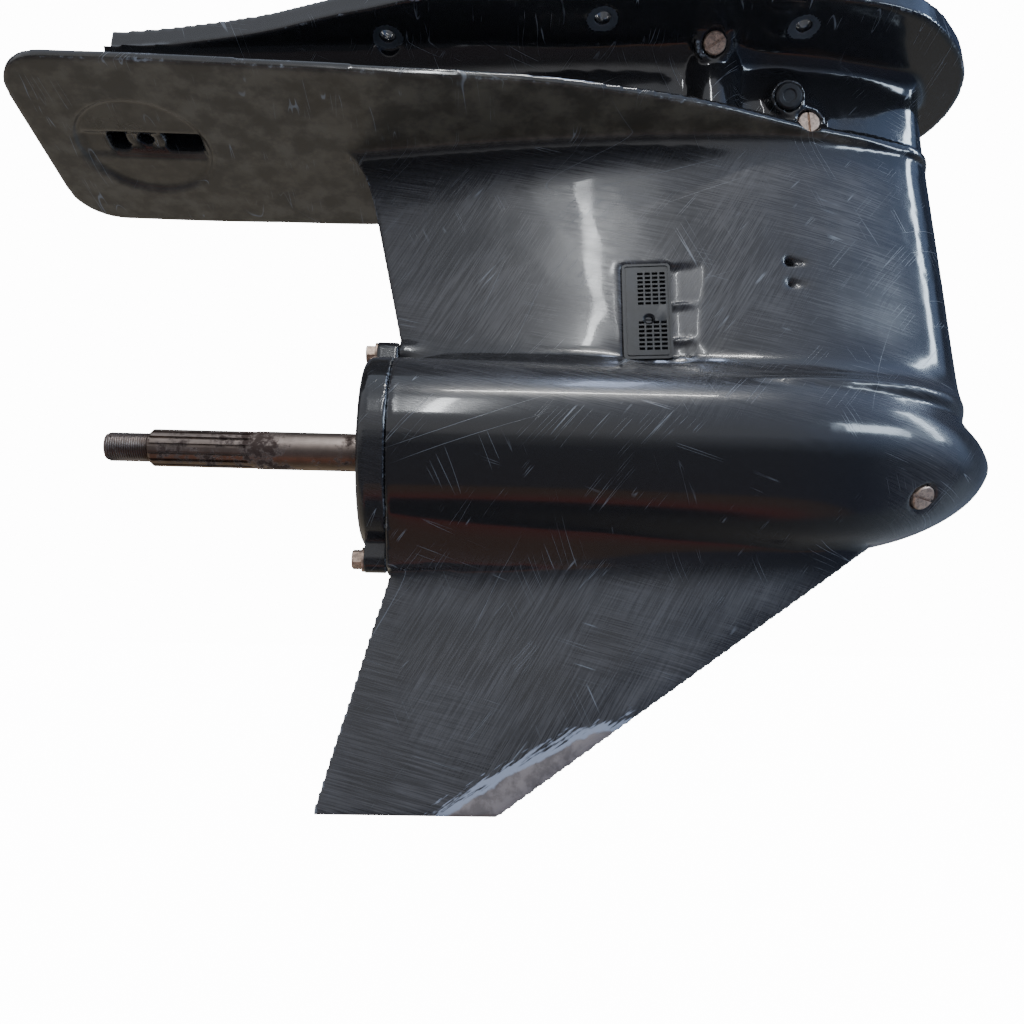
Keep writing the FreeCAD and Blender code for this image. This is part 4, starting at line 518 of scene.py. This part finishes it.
def skin_of(node, name, step, web=None):
    """A copy of a CAD node as an even closed skin, its faces about step long.

    A web is a block, given by two corners, that thickens a wall too thin for that step.
    """
    data = NODES[node].data.copy()
    if web:
        low, high = (np.array(corner) for corner in web)
        build = bmesh.new()
        build.from_mesh(data)
        for vertex in bmesh.ops.create_cube(build, size=1.0)["verts"]:
            vertex.co = (low + high) / 2 + np.array(vertex.co) * (high - low)
        build.to_mesh(data)
        build.free()
    piece = bpy.data.objects.new(name, data)
    bpy.context.scene.collection.objects.link(piece)
    change = piece.modifiers.new("skin", "REMESH")
    change.mode = "VOXEL"
    change.voxel_size = step
    graph = bpy.context.evaluated_depsgraph_get()
    mesh = bpy.data.meshes.new_from_object(piece.evaluated_get(graph))
    piece.modifiers.clear()
    piece.data = mesh
    return piece


def put_places(mesh, places):
    mesh.vertices.foreach_set("co", places.astype(np.float32).ravel())
    mesh.update()


def put_mask(mesh, name, values):
    made = mesh.attributes.new(name, "FLOAT", "POINT")
    made.data.foreach_set("value", values.astype(np.float32))


def normals_of(mesh):
    out = np.empty(len(mesh.vertices) * 3)
    mesh.vertices.foreach_get("normal", out)
    return out.reshape(-1, 3)


EDGE_GAIN = 6.0


def sharpness(places, normals, edges, count, step):
    """How convex the skin is at each vertex, 0 flat and 1 a sharp edge."""
    bend = -np.einsum("ij,ij->i", evened(places, edges, count) - places, normals) / step
    return evened(np.clip(bend * EDGE_GAIN, 0, 1), edges, count)


def shade_smooth(mesh):
    mesh.polygons.foreach_set("use_smooth", np.ones(len(mesh.polygons), bool))


def fitted(places, low, high):
    """No vertex leaves the node's own box."""
    return np.clip(places, np.array(low), np.array(high))


# bolt seats under the flange, as x and distance from the middle plane
FLANGE_SEATS = ((-0.006, 0.070), (-0.150, 0.070), (-0.304, 0.046))
SEAT_RADIUS = 0.0112
SEAT_LEVELS = (-0.050, -0.004)
# the water screen's middle, as x and z, and the half length and height kept clear round it
SCREEN = (-0.105, -0.227)
SCREEN_CLEAR = (0.048, 0.058)
# pieces whose moulded bosses blend into the wall, each with its reach, and the radius kept sharp
BOSSES = {"flushing_plug": 0.042, "oil_level_plug": 0.036, "round_cap": 0.036}
BOSS_KEPT = 0.0098
# two corners of the web that thickens the aft end of the slot over the trim tab's seat
SLOT_WEB = ((-0.5302, -0.0138, -0.0810), (-0.5105, 0.0138, -0.0793))
# each form of the casting fades in or out between two values of x or z
AFT_END = (-0.286, -0.276)
HOLLOW_FOOT, HOLLOW_TOP = (-0.318, -0.295), (-0.220, -0.190)
ROOT_FOOT, ROOT_TOP = (-0.440, -0.415), (-0.360, -0.345)
ABOVE_PLATE = (-0.076, -0.066)
STRUT_FOOT, STRUT_TOP, STRUT_LEAD = (-0.300, -0.215), (-0.120, -0.085), (0.040, 0.085)
SKEG_TOP = (-0.425, -0.392)
TORPEDO_SIDE, TORPEDO_TOP = (-0.335, -0.300), (-0.275, -0.262)
NOSE_AFT, NOSE_TOP = (0.0, 0.06), (-0.28, -0.24)
# the plate's underside lies between these levels, and the floor of the tab's seat above the middle one
PLATE_LOW, SEAT_FLOOR, PLATE_HIGH = -0.105, -0.0845, -0.0795
# the upper edge of the rubbed patch on the skeg's toe, as x and z, its fade, and the level it stays under
TOE = ((-0.300, -0.620), (-0.256, -0.556), (-0.212, -0.529),
       (-0.176, -0.509), (-0.150, -0.499), (-0.110, -0.492))
TOE_FADE = 0.050
TOE_TOP = -0.46
# the painted seam between carrier and housing
SEAM_X = -0.2872


def middle_of(node):
    """The middle of a node's box."""
    low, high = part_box(node)
    return (np.array(low) + np.array(high)) / 2


def near(places, middle, reach):
    """1 at a point of the casting's side, given as x and z, and 0 past an oval round it."""
    reach = ((places[:, 0] - middle[0]) / reach[0]) ** 2 + ((places[:, 2] - middle[1]) / reach[1]) ** 2
    return 1 - step_up(reach, 0.5, 1.0)


def filled(mesh, places, edges, soft, passes):
    """Fills the hollows under a mask with a smooth fillet, and takes nothing off."""
    put_places(mesh, places)
    part = soft > 0
    for ends in (edges, edges[:, ::-1]):
        part[ends[soft[ends[:, 0]] > 0, 1]] = True
    index = np.cumsum(part) - 1
    near_edges = index[edges[part[edges].all(axis=1)]]
    count = np.maximum(np.bincount(near_edges.ravel(), minlength=part.sum()), 1).astype(float)
    normals = normals_of(mesh)[part]
    for _ in range(4):
        normals = evened(normals, near_edges, count)
    normals /= np.maximum(np.linalg.norm(normals, axis=1), 1e-9)[:, None]
    held = places[part]
    moved = held
    share = (0.62 * soft[part])[:, None]
    for _ in range(passes):
        moved = moved + share * (evened(moved, near_edges, count) - moved)
    lift = np.maximum(np.einsum("ij,ij->i", moved - held, normals), 0)
    for _ in range(6):
        lift = np.where(share[:, 0] > 0, evened(lift, near_edges, count), 0)
    out = places.copy()
    out[part] = held + lift[:, None] * normals
    return out


class UNIT_OT_gearcase(bpy.types.Operator):
    """Makes the painted gearcase: torpedo, strut, skeg, plate and flange as one cast skin"""
    bl_idname = "lower_unit.gearcase"
    bl_label = "Gearcase"

    def execute(self, context):
        cast = context.scene.unit_cast
        piece = skin_of("gearcase_housing", "gearcase_skin", cast.step, SLOT_WEB)
        mesh = piece.data
        places, edges, count = grid_of(mesh)
        low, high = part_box("gearcase_housing")
        places = fair(places, edges, count, 12)
        put_places(mesh, places)
        outer = self.outer_side(places, normals_of(mesh), edges, count)
        places = self.blend_forms(mesh, places, edges, count, outer, cast.blend_passes)
        put_places(mesh, fitted(places, low, high))
        shade_smooth(mesh)
        self.paint(mesh, places, edges, count, cast.step)
        wear_finish(piece, "enamel")
        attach(piece, "casing")
        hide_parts("gearcase_housing")
        return {"FINISHED"}

    def outer_side(self, places, normals, edges, count):
        """1 on the outside, whose skin faces away from the middle plane, and 0 in bores and passages."""
        outer = (places[:, 1] * normals[:, 1] > 0.001).astype(float)
        for _ in range(3):
            outer = evened(outer, edges, count)
        return step_up(outer, 0.55, 0.95)

    def blend_forms(self, mesh, places, edges, count, outer, passes):
        """The hollow between torpedo and strut, the skeg's root, and the moulded bosses."""
        x, z = places[:, 0], places[:, 2]
        ends = step_up(x, *AFT_END)
        clear = 1 - near(places, SCREEN, SCREEN_CLEAR)
        hollow = step_up(z, *HOLLOW_FOOT) * (1 - step_up(z, *HOLLOW_TOP)) * clear
        places = filled(mesh, places, edges, outer * ends * hollow, passes)
        root = (1 - step_up(z, *ROOT_TOP)) * step_up(z, *ROOT_FOOT)
        places = filled(mesh, places, edges, outer * ends * root, passes // 3)
        soft = np.zeros(len(places))
        kept = np.zeros(len(places))
        for name, reach in BOSSES.items():
            away = np.linalg.norm(places - middle_of(name), axis=1)
            soft = np.maximum(soft, 1 - step_up(away, 0.6 * reach, reach))
            kept = np.maximum(kept, 1 - step_up(away, BOSS_KEPT, 1.5 * BOSS_KEPT))
        soft = soft * (1 - kept) * outer * (places[:, 1] < 0) * step_up(z, *ABOVE_PLATE)
        places = filled(mesh, places, edges, soft, passes // 3)
        soft = outer * ends * np.maximum(hollow, root)
        for _ in range(12):
            places = places + (0.5 * soft)[:, None] * (evened(places, edges, count) - places)
        return places

    def paint(self, mesh, places, edges, count, step):
        """Masks for haze, stain, bare alloy, bolt seats and rubbed edges."""
        normals = normals_of(mesh)
        x, y, z = places[:, 0], places[:, 1], places[:, 2]
        strut = step_up(z, *STRUT_FOOT) * (1 - step_up(z, *STRUT_TOP)) * (1 - step_up(x, *STRUT_LEAD))
        skeg = 1 - step_up(z, *SKEG_TOP)
        upper = 0.62 * step_up(z, *TORPEDO_SIDE) * (1 - step_up(z, *TORPEDO_TOP))
        ahead = 0.5 * step_up(x, *NOSE_AFT) * (1 - step_up(z, *NOSE_TOP))
        haze = np.maximum(np.maximum(0.9 * strut, skeg), np.maximum(upper, ahead))
        under = (normals[:, 2] < -0.6) & (z > PLATE_LOW) & (z < PLATE_HIGH)
        olive = np.where(z > SEAT_FLOOR, 0.6, 1.0) * under
        for _ in range(3):
            olive = evened(olive, edges, count)
        facing_down = (normals[:, 2] < -0.7) & (z > SEAT_LEVELS[0]) & (z < SEAT_LEVELS[1])
        seat = np.zeros(len(places))
        for along, side in FLANGE_SEATS:
            for towards in (-side, side):
                away = np.hypot(x - along, y - towards)
                seat = np.maximum(seat, (away < SEAT_RADIUS) & facing_down)
        edge = sharpness(places, normals, edges, count, step)
        masks = {"haze": haze, "olive": olive, "bare": self.rubbed_toe(x, z),
                 "seat": evened(seat, edges, count), "edge": edge}
        for name, values in masks.items():
            put_mask(mesh, name, values)

    def rubbed_toe(self, x, z):
        """How far inside the skeg's rubbed toe a vertex is: 0.5 at its edge, 1 or 0 half a fade away."""
        heights = np.interp(x, [p[0] for p in TOE], [p[1] for p in TOE])
        inside = np.clip(0.5 + (heights - z) / TOE_FADE, 0, 1)
        return np.where(z < TOE_TOP, inside, 0)


class UNIT_OT_carrier(bpy.types.Operator):
    """Makes the bearing carrier: ring, lugs, spokes and hub, painted as the gearcase is"""
    bl_idname = "lower_unit.carrier"
    bl_label = "Bearing carrier"

    def execute(self, context):
        step = context.scene.unit_cast.carrier_step
        piece = skin_of("bearing_carrier", "carrier_skin", step)
        mesh = piece.data
        places, edges, count = grid_of(mesh)
        low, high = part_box("bearing_carrier")
        places = fitted(fair(places, edges, count, 5), low, high)
        put_places(mesh, places)
        shade_smooth(mesh)
        normals = normals_of(mesh)
        edge = sharpness(places, normals, edges, count, step)
        seam = 1 - step_up(np.abs(places[:, 0] - SEAM_X), 0.0004, 0.0014)
        masks = {"haze": np.full(len(places), 0.18), "edge": np.maximum(edge, 0.8 * seam)}
        for name in ("haze", "olive", "bare", "seat", "edge"):
            put_mask(mesh, name, masks.get(name, np.zeros(len(places))))
        wear_finish(piece, "enamel")
        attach(piece, "casing")
        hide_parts("bearing_carrier")
        return {"FINISHED"}


# the shaft is cut off here and its threaded end put on, with a small lap
THREAD_END = -0.4475
THREAD_RADIUS = 0.0096
THREAD_LAP = 0.0004


def thread_end(first, last, radius, depth, pitch, around=64, per_turn=10):
    """A threaded end along X: rings of vertices whose radius follows the helix."""
    steps = int(round((last - first) / pitch * per_turn))
    mesh = bmesh.new()
    rings = []
    for i in range(steps + 1):
        x = first + (last - first) * i / steps
        lead = min(1.0, (x - first) / (1.6 * pitch)) * min(1.0, (last - x) / (0.6 * pitch) + 0.15)
        ring = []
        for k in range(around):
            angle = 2 * math.pi * k / around
            phase = ((x / pitch) - k / around) % 1.0
            ridge = min(1.0, max(0.0, (0.5 - abs(phase - 0.5)) * 2.6 - 0.15))
            r = radius - depth * (1 - ridge * lead) - 0.4 * depth * (1 - lead)
            ring.append(mesh.verts.new((x, r * math.cos(angle), r * math.sin(angle))))
        rings.append(ring)
    for lower, upper in zip(rings, rings[1:]):
        for k in range(around):
            mesh.faces.new((lower[k - 1], lower[k], upper[k], upper[k - 1]))
    centre = mesh.verts.new((first + THREAD_LAP, 0, 0))
    rim = []
    for vertex in rings[0]:
        rim.append(mesh.verts.new((first, vertex.co.y * 0.72, vertex.co.z * 0.72)))
    for k in range(around):
        mesh.faces.new((rings[0][k], rings[0][k - 1], rim[k - 1], rim[k]))
        mesh.faces.new((rim[k], rim[k - 1], centre))
    back = mesh.verts.new((last, 0, 0))
    for k in range(around):
        mesh.faces.new((rings[-1][k - 1], rings[-1][k], back))
    return mesh


class UNIT_OT_propeller_shaft(bpy.types.Operator):
    """Makes the propeller shaft with its cut thread, fifteen splines and plain journal"""
    bl_idname = "lower_unit.propeller_shaft"
    bl_label = "Propeller shaft"

    def execute(self, context):
        sizes = context.scene.unit_shaft
        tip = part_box("propeller_shaft")[0].x
        body = bmesh.new()
        body.from_mesh(NODES["propeller_shaft"].data)
        bmesh.ops.remove_doubles(body, verts=body.verts, dist=JOIN)
        shape = body.verts[:] + body.edges[:] + body.faces[:]
        cut = bmesh.ops.bisect_plane(body, geom=shape, plane_co=(THREAD_END, 0, 0), plane_no=(-1, 0, 0),
                                     clear_outer=True)
        rim = [e for e in cut["geom_cut"] if isinstance(e, bmesh.types.BMEdge)]
        bmesh.ops.holes_fill(body, edges=rim)
        end = thread_end(tip, THREAD_END + THREAD_LAP, THREAD_RADIUS, sizes.depth, sizes.pitch)
        bmesh.ops.translate(end, verts=end.verts, vec=(0, 0, AXIS_Z))
        held = bpy.data.meshes.new("thread")
        end.to_mesh(held)
        body.from_mesh(held)
        bpy.data.meshes.remove(held)
        end.free()
        mesh = bpy.data.meshes.new("propeller_shaft_cut")
        body.to_mesh(mesh)
        body.free()
        piece = bpy.data.objects.new("propeller_shaft_cut", mesh)
        context.scene.collection.objects.link(piece)
        smooth_by_angle(mesh, 32)
        wear_finish(piece, "shaft")
        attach(piece, "propshaft")
        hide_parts("propeller_shaft")
        return {"FINISHED"}


def smooth_by_angle(mesh, degrees):
    """Smooth shading that stays crisp at edges sharper than this."""
    work = bmesh.new()
    work.from_mesh(mesh)
    bmesh.ops.remove_doubles(work, verts=work.verts, dist=1e-7)
    limit = math.radians(degrees)
    for face in work.faces:
        face.smooth = True
    for edge in work.edges:
        edge.smooth = len(edge.link_faces) != 2 or edge.calc_face_angle(0.0) < limit
    work.to_mesh(mesh)
    work.free()


def soften(piece, width):
    """Small rounded edges on a CAD node, with its own mesh left as it is."""
    weld = piece.modifiers.new("joined", "WELD")
    weld.merge_threshold = JOIN
    flat = piece.modifiers.new("flat", "DECIMATE")
    flat.decimate_type = "DISSOLVE"
    flat.angle_limit = math.radians(1.0)
    change = piece.modifiers.new("rounded", "BEVEL")
    change.width = width
    change.segments = 2
    change.limit_method = "ANGLE"
    change.angle_limit = math.radians(38)
    change.harden_normals = False


# finish, material slot, width of the rounded edges, and the nodes that wear it
FINISHES = (
    ("bronze", "bronze_yellow", 0.0003, ("carrier_bolts", "flushing_plug", "oil_level_plug", "drain_plug")),
    ("plastic", "black_plastic", 0.0002, (
        "intake_screen_starboard", "intake_screen_port", "round_cap", "pump_housing")),
    ("shaft", "shaft_steel", 0.0002, ("driveshaft", "shift_rod")),
    ("screw", "stainless", 0.0002, ("intake_screen_screw",)),
    ("gear", "gear_steel", 0.0003, (
        "forward_gear", "reverse_gear", "pinion_gear", "clutch_dog", "cross_pin", "shift_actuator",
        "shift_spool", "shift_crank", "reverse_thrust_ring", "driveshaft_bearing_nut")),
    ("bright", "bearing_steel", 0.0, (
        "forward_bearing_cup", "forward_bearing_cone", "forward_bearing_rollers",
        "reverse_bearing_inner_race", "reverse_bearing_outer_race", "reverse_bearing_balls",
        "propshaft_needle_bearing",
        "driveshaft_needle_bearing", "driveshaft_bearing_cup", "driveshaft_bearing_cone",
        "driveshaft_bearing_rollers")),
    ("stainless", "stainless", 0.0002, (
        "cross_pin_ring", "shift_seal_bolts", "forward_shim", "pinion_nut", "pump_wear_plate", "pump_liner",
        "impeller_key", "pump_bolts", "dowel_pins")),
    ("alloy", "bare_aluminium", 0.0003, ("shift_seal_housing", "driveshaft_seal_carrier")),
    ("rubber", "seal_rubber", 0.0002, (
        "shift_rod_seal", "carrier_o_ring", "propshaft_oil_seals", "seal_carrier_o_ring",
        "driveshaft_oil_seals", "pump_gasket", "water_tube_grommet", "pump_impeller", "plug_gaskets")),
)


def dress(key):
    """Gives the CAD nodes of one finish their material and rounded edges."""
    for finish, slot, width, names in FINISHES:
        if finish == key:
            for name in names:
                piece = NODES[name]
                wear_finish(piece, finish)
                if width:
                    soften(piece, width)


class Dressing:
    """What the operators share that dress CAD nodes: each names its finishes"""
    finishes = ()

    def execute(self, context):
        for key in self.finishes:
            dress(key)
        return {"FINISHED"}


class UNIT_OT_plated_screws(Dressing, bpy.types.Operator):
    """Dresses the slotted plugs and the carrier's bolts in bronze-coloured plating"""
    bl_idname = "lower_unit.plated_screws"
    bl_label = "Plugs and carrier bolts"
    finishes = ("bronze",)


class UNIT_OT_mouldings(Dressing, bpy.types.Operator):
    """Dresses the water screens, round cap and pump housing in moulded plastic"""
    bl_idname = "lower_unit.mouldings"
    bl_label = "Mouldings"
    finishes = ("plastic",)


class UNIT_OT_rods(Dressing, bpy.types.Operator):
    """Dresses the driveshaft and the shift rod in stained steel"""
    bl_idname = "lower_unit.rods"
    bl_label = "Driveshaft and shift rod"
    finishes = ("shaft",)


class UNIT_OT_gears(Dressing, bpy.types.Operator):
    """Dresses the gears, clutch and shift pieces in hardened steel"""
    bl_idname = "lower_unit.gears"
    bl_label = "Gears and clutch"
    finishes = ("gear",)


class UNIT_OT_bearings(Dressing, bpy.types.Operator):
    """Dresses the bearings in polished steel"""
    bl_idname = "lower_unit.bearings"
    bl_label = "Bearings"
    finishes = ("bright",)


class UNIT_OT_small_steel(Dressing, bpy.types.Operator):
    """Dresses the small screws, pins, key, liner and plate in stainless steel"""
    bl_idname = "lower_unit.small_steel"
    bl_label = "Small steel pieces"
    finishes = ("screw", "stainless")


class UNIT_OT_seal_carriers(Dressing, bpy.types.Operator):
    """Dresses the seal carriers in machined alloy"""
    bl_idname = "lower_unit.seal_carriers"
    bl_label = "Seal carriers"
    finishes = ("alloy",)


class UNIT_OT_rubber(Dressing, bpy.types.Operator):
    """Dresses the seals, gaskets, grommet and impeller in rubber"""
    bl_idname = "lower_unit.rubber"
    bl_label = "Rubber pieces"
    finishes = ("rubber",)


def lamp(name, place, aim, size, power, tint):
    """A soft rectangular lamp at place that faces aim."""
    data = bpy.data.lights.new(name, "AREA")
    data.shape = "RECTANGLE"
    data.size, data.size_y = size
    data.energy = power
    data.color = tint
    made = bpy.data.objects.new(name, data)
    made.location = place
    made.rotation_euler = (Vector(aim) - Vector(place)).to_track_quat("-Z", "Y").to_euler()
    bpy.context.scene.collection.objects.link(made)


# colours seen in reflections, each at the sine of its height over the horizon
FRONT_SKY = (
    (-1.00, (0.05, 0.045, 0.045)), (-0.965, (0.05, 0.045, 0.045)), (-0.955, (0.42, 0.11, 0.08)),
    (-0.900, (0.30, 0.17, 0.11)), (-0.850, (0.26, 0.16, 0.10)), (-0.830, (0.130, 0.112, 0.122)),
    (-0.150, (0.110, 0.105, 0.112)), (0.0, (0.30, 0.30, 0.31)), (0.18, (0.66, 0.66, 0.68)),
    (0.80, (0.62, 0.66, 0.74)), (1.00, (0.60, 0.68, 0.80)))
BACK_SKY = (
    (-1.00, (0.09, 0.080, 0.070)), (-0.70, (0.32, 0.275, 0.21)), (-0.30, (0.56, 0.49, 0.39)),
    (0.0, (0.26, 0.24, 0.22)), (0.50, (0.06, 0.06, 0.07)), (0.90, (0.10, 0.11, 0.14)),
    (1.00, (0.60, 0.68, 0.80)))
COOL_SIDE = (0.62, 0.86, 1.35)
# name, place, aim, width and height, share of the power, tint
LAMPS = (
    ("tube", (-0.02, -0.80, 1.02), (-0.15, -0.05, -0.27), (0.60, 0.035), 0.9, (1.0, 0.99, 0.96)),
    ("skylight", (0.10, -0.10, 1.20), (-0.15, -0.05, -0.27), (0.90, 0.14), 1.1, (0.58, 0.70, 1.0)),
    ("window", (-0.34, -1.44, 0.77), (-0.16, 0.0, -0.20), (0.045, 0.62), 0.8, (0.95, 0.98, 1.0)),
    ("side", (1.25, -0.45, 0.50), (0.0, 0.0, -0.25), (0.16, 0.7), 1.0, (0.72, 0.86, 1.0)),
    ("bow", (1.00, -1.10, 0.28), (0.0, 0.0, -0.32), (0.6, 0.22), 0.9, (0.72, 0.86, 1.0)),
)


# the fitted camera: its place, and its yaw, pitch and roll in degrees
CAMERA_PLACE = (-0.2261, -0.6007, -0.5699)
CAMERA_TURN = (1.8, 18.9, 0.8)


class UNIT_OT_stage(bpy.types.Operator):
    """Sets up the pale floor, the soft lamps and the camera"""
    bl_idname = "lower_unit.stage"
    bl_label = "Stage"

    def execute(self, context):
        scene = context.scene
        setup = scene.unit_stage
        self.floor(setup.floor_level, setup.backdrop)
        self.sky(scene, setup.backdrop)
        for name, place, aim, size, share, tint in LAMPS:
            lamp(name, place, aim, size, share * setup.key_power, tint)
        self.camera(scene, setup.lens)
        return {"FINISHED"}

    def floor(self, level, backdrop):
        """A pale floor that curves up behind, as bright as the backdrop to the eye."""
        mesh = bmesh.new()
        bmesh.ops.create_grid(mesh, x_segments=40, y_segments=40, size=6.0)
        for vertex in mesh.verts:
            back = max(0.0, vertex.co.y - 2.5)
            vertex.co.z = level + 0.12 * back * back
        data = bpy.data.meshes.new("floor")
        mesh.to_mesh(data)
        mesh.free()
        piece = bpy.data.objects.new("floor", data)
        bpy.context.scene.collection.objects.link(piece)
        piece.visible_glossy = False
        made, s, sockets = new_material("pale_floor")
        tone = s.noise(s.place(), 3.0, 3.0, 0.5)
        s.feed(s.blend(tone, (0.74, 0.74, 0.75, 1), (0.80, 0.80, 0.80, 1)), sockets["Base Color"])
        sockets["Roughness"].default_value = 0.8
        seen = s.add("LightPath").outputs["Is Camera Ray"]
        s.feed(s.blend(seen, (0, 0, 0, 1), (1, 1, 1, 1)), sockets["Emission Color"])
        sockets["Emission Strength"].default_value = backdrop
        data.materials.append(made)

    def sky(self, scene, backdrop):
        """White to the eye; in reflections a pale room above, dark below, with a warm band low in front."""
        world = bpy.data.worlds.new("studio")
        world.use_nodes = True
        scene.world = world
        s = Shades(world.node_tree)
        parts = s.add("SeparateXYZ")
        s.feed(s.add("TexCoord").outputs["Generated"], parts.inputs[0])
        front = s.steps(parts.outputs["Z"], FRONT_SKY)
        back = s.steps(parts.outputs["Z"], BACK_SKY)
        room = s.blend(s.ramp(parts.outputs["Y"], -0.12, 0.12), front, back)
        cool = s.blend(1.0, room, colour(COOL_SIDE), "MULTIPLY")
        room = s.blend(s.ramp(parts.outputs["X"], 0.05, 0.75), room, cool)
        plain = world.node_tree.nodes["Background"]
        s.feed(room, plain.inputs["Color"])
        plain.inputs["Strength"].default_value = 1.0
        white = s.add("Background")
        white.inputs["Color"].default_value = (1, 1, 1, 1)
        white.inputs["Strength"].default_value = backdrop
        either = s.add("MixShader")
        s.feed(s.add("LightPath").outputs["Is Camera Ray"], either.inputs[0])
        s.feed(plain.outputs[0], either.inputs[1])
        s.feed(white.outputs[0], either.inputs[2])
        s.feed(either.outputs[0], world.node_tree.nodes["World Output"].inputs["Surface"])

    def camera(self, scene, lens):
        """The fitted camera of the view: low at the starboard side, looking up and across."""
        yaw, pitch, roll = (math.radians(v) for v in CAMERA_TURN)
        ahead = Vector((math.sin(yaw) * math.cos(pitch), math.cos(yaw) * math.cos(pitch), math.sin(pitch)))
        across = Vector((math.cos(yaw), -math.sin(yaw), 0))
        above = across.cross(ahead)
        right = across * math.cos(roll) + above * math.sin(roll)
        up = above * math.cos(roll) - across * math.sin(roll)
        data = bpy.data.cameras.new("camera")
        data.sensor_width = 36
        data.lens = lens
        data.clip_start, data.clip_end = 0.01, 50
        made = bpy.data.objects.new("camera", data)
        scene.collection.objects.link(made)
        made.matrix_world = Matrix((
            (right.x, up.x, -ahead.x, CAMERA_PLACE[0]), (right.y, up.y, -ahead.y, CAMERA_PLACE[1]),
            (right.z, up.z, -ahead.z, CAMERA_PLACE[2]), (0, 0, 0, 1)))
        scene.camera = made


class UNIT_PT_panel(bpy.types.Panel):
    """Lists the pieces and settings in the 3D view's sidebar"""
    bl_idname = "UNIT_PT_panel"
    bl_label = "Lower unit"
    bl_space_type = "VIEW_3D"
    bl_region_type = "UI"
    bl_category = "Lower unit"

    def draw(self, context):
        for operator in OPERATORS:
            self.layout.operator(operator.bl_idname)
        for name, group in SETTINGS:
            settings = getattr(context.scene, name)
            box = self.layout.box()
            for field in group.__annotations__:
                box.prop(settings, field)


SETTINGS = (("unit_enamel", EnamelSettings), ("unit_cast", CastSettings), ("unit_metal", MetalSettings),
            ("unit_shaft", ShaftSettings), ("unit_stage", StageSettings))
OPERATORS = (UNIT_OT_gearcase, UNIT_OT_carrier, UNIT_OT_propeller_shaft, UNIT_OT_plated_screws,
             UNIT_OT_mouldings, UNIT_OT_rods, UNIT_OT_gears, UNIT_OT_bearings, UNIT_OT_small_steel,
             UNIT_OT_seal_carriers, UNIT_OT_rubber, UNIT_OT_stage)


def register():
    for name, group in SETTINGS:
        bpy.utils.register_class(group)
        setattr(bpy.types.Scene, name, PointerProperty(type=group))
    for operator in OPERATORS:
        bpy.utils.register_class(operator)
    bpy.utils.register_class(UNIT_PT_panel)


def unregister():
    bpy.utils.unregister_class(UNIT_PT_panel)
    for operator in reversed(OPERATORS):
        bpy.utils.unregister_class(operator)
    for name, group in reversed(SETTINGS):
        delattr(bpy.types.Scene, name)
        bpy.utils.unregister_class(group)


def main():
    register()
    for operator in OPERATORS:
        family, word = operator.bl_idname.split(".")
        done = getattr(getattr(bpy.ops, family), word)()
        if done != {"FINISHED"}:
            raise RuntimeError(operator.bl_label + " was not made")


if __name__ == "__main__":
    main()
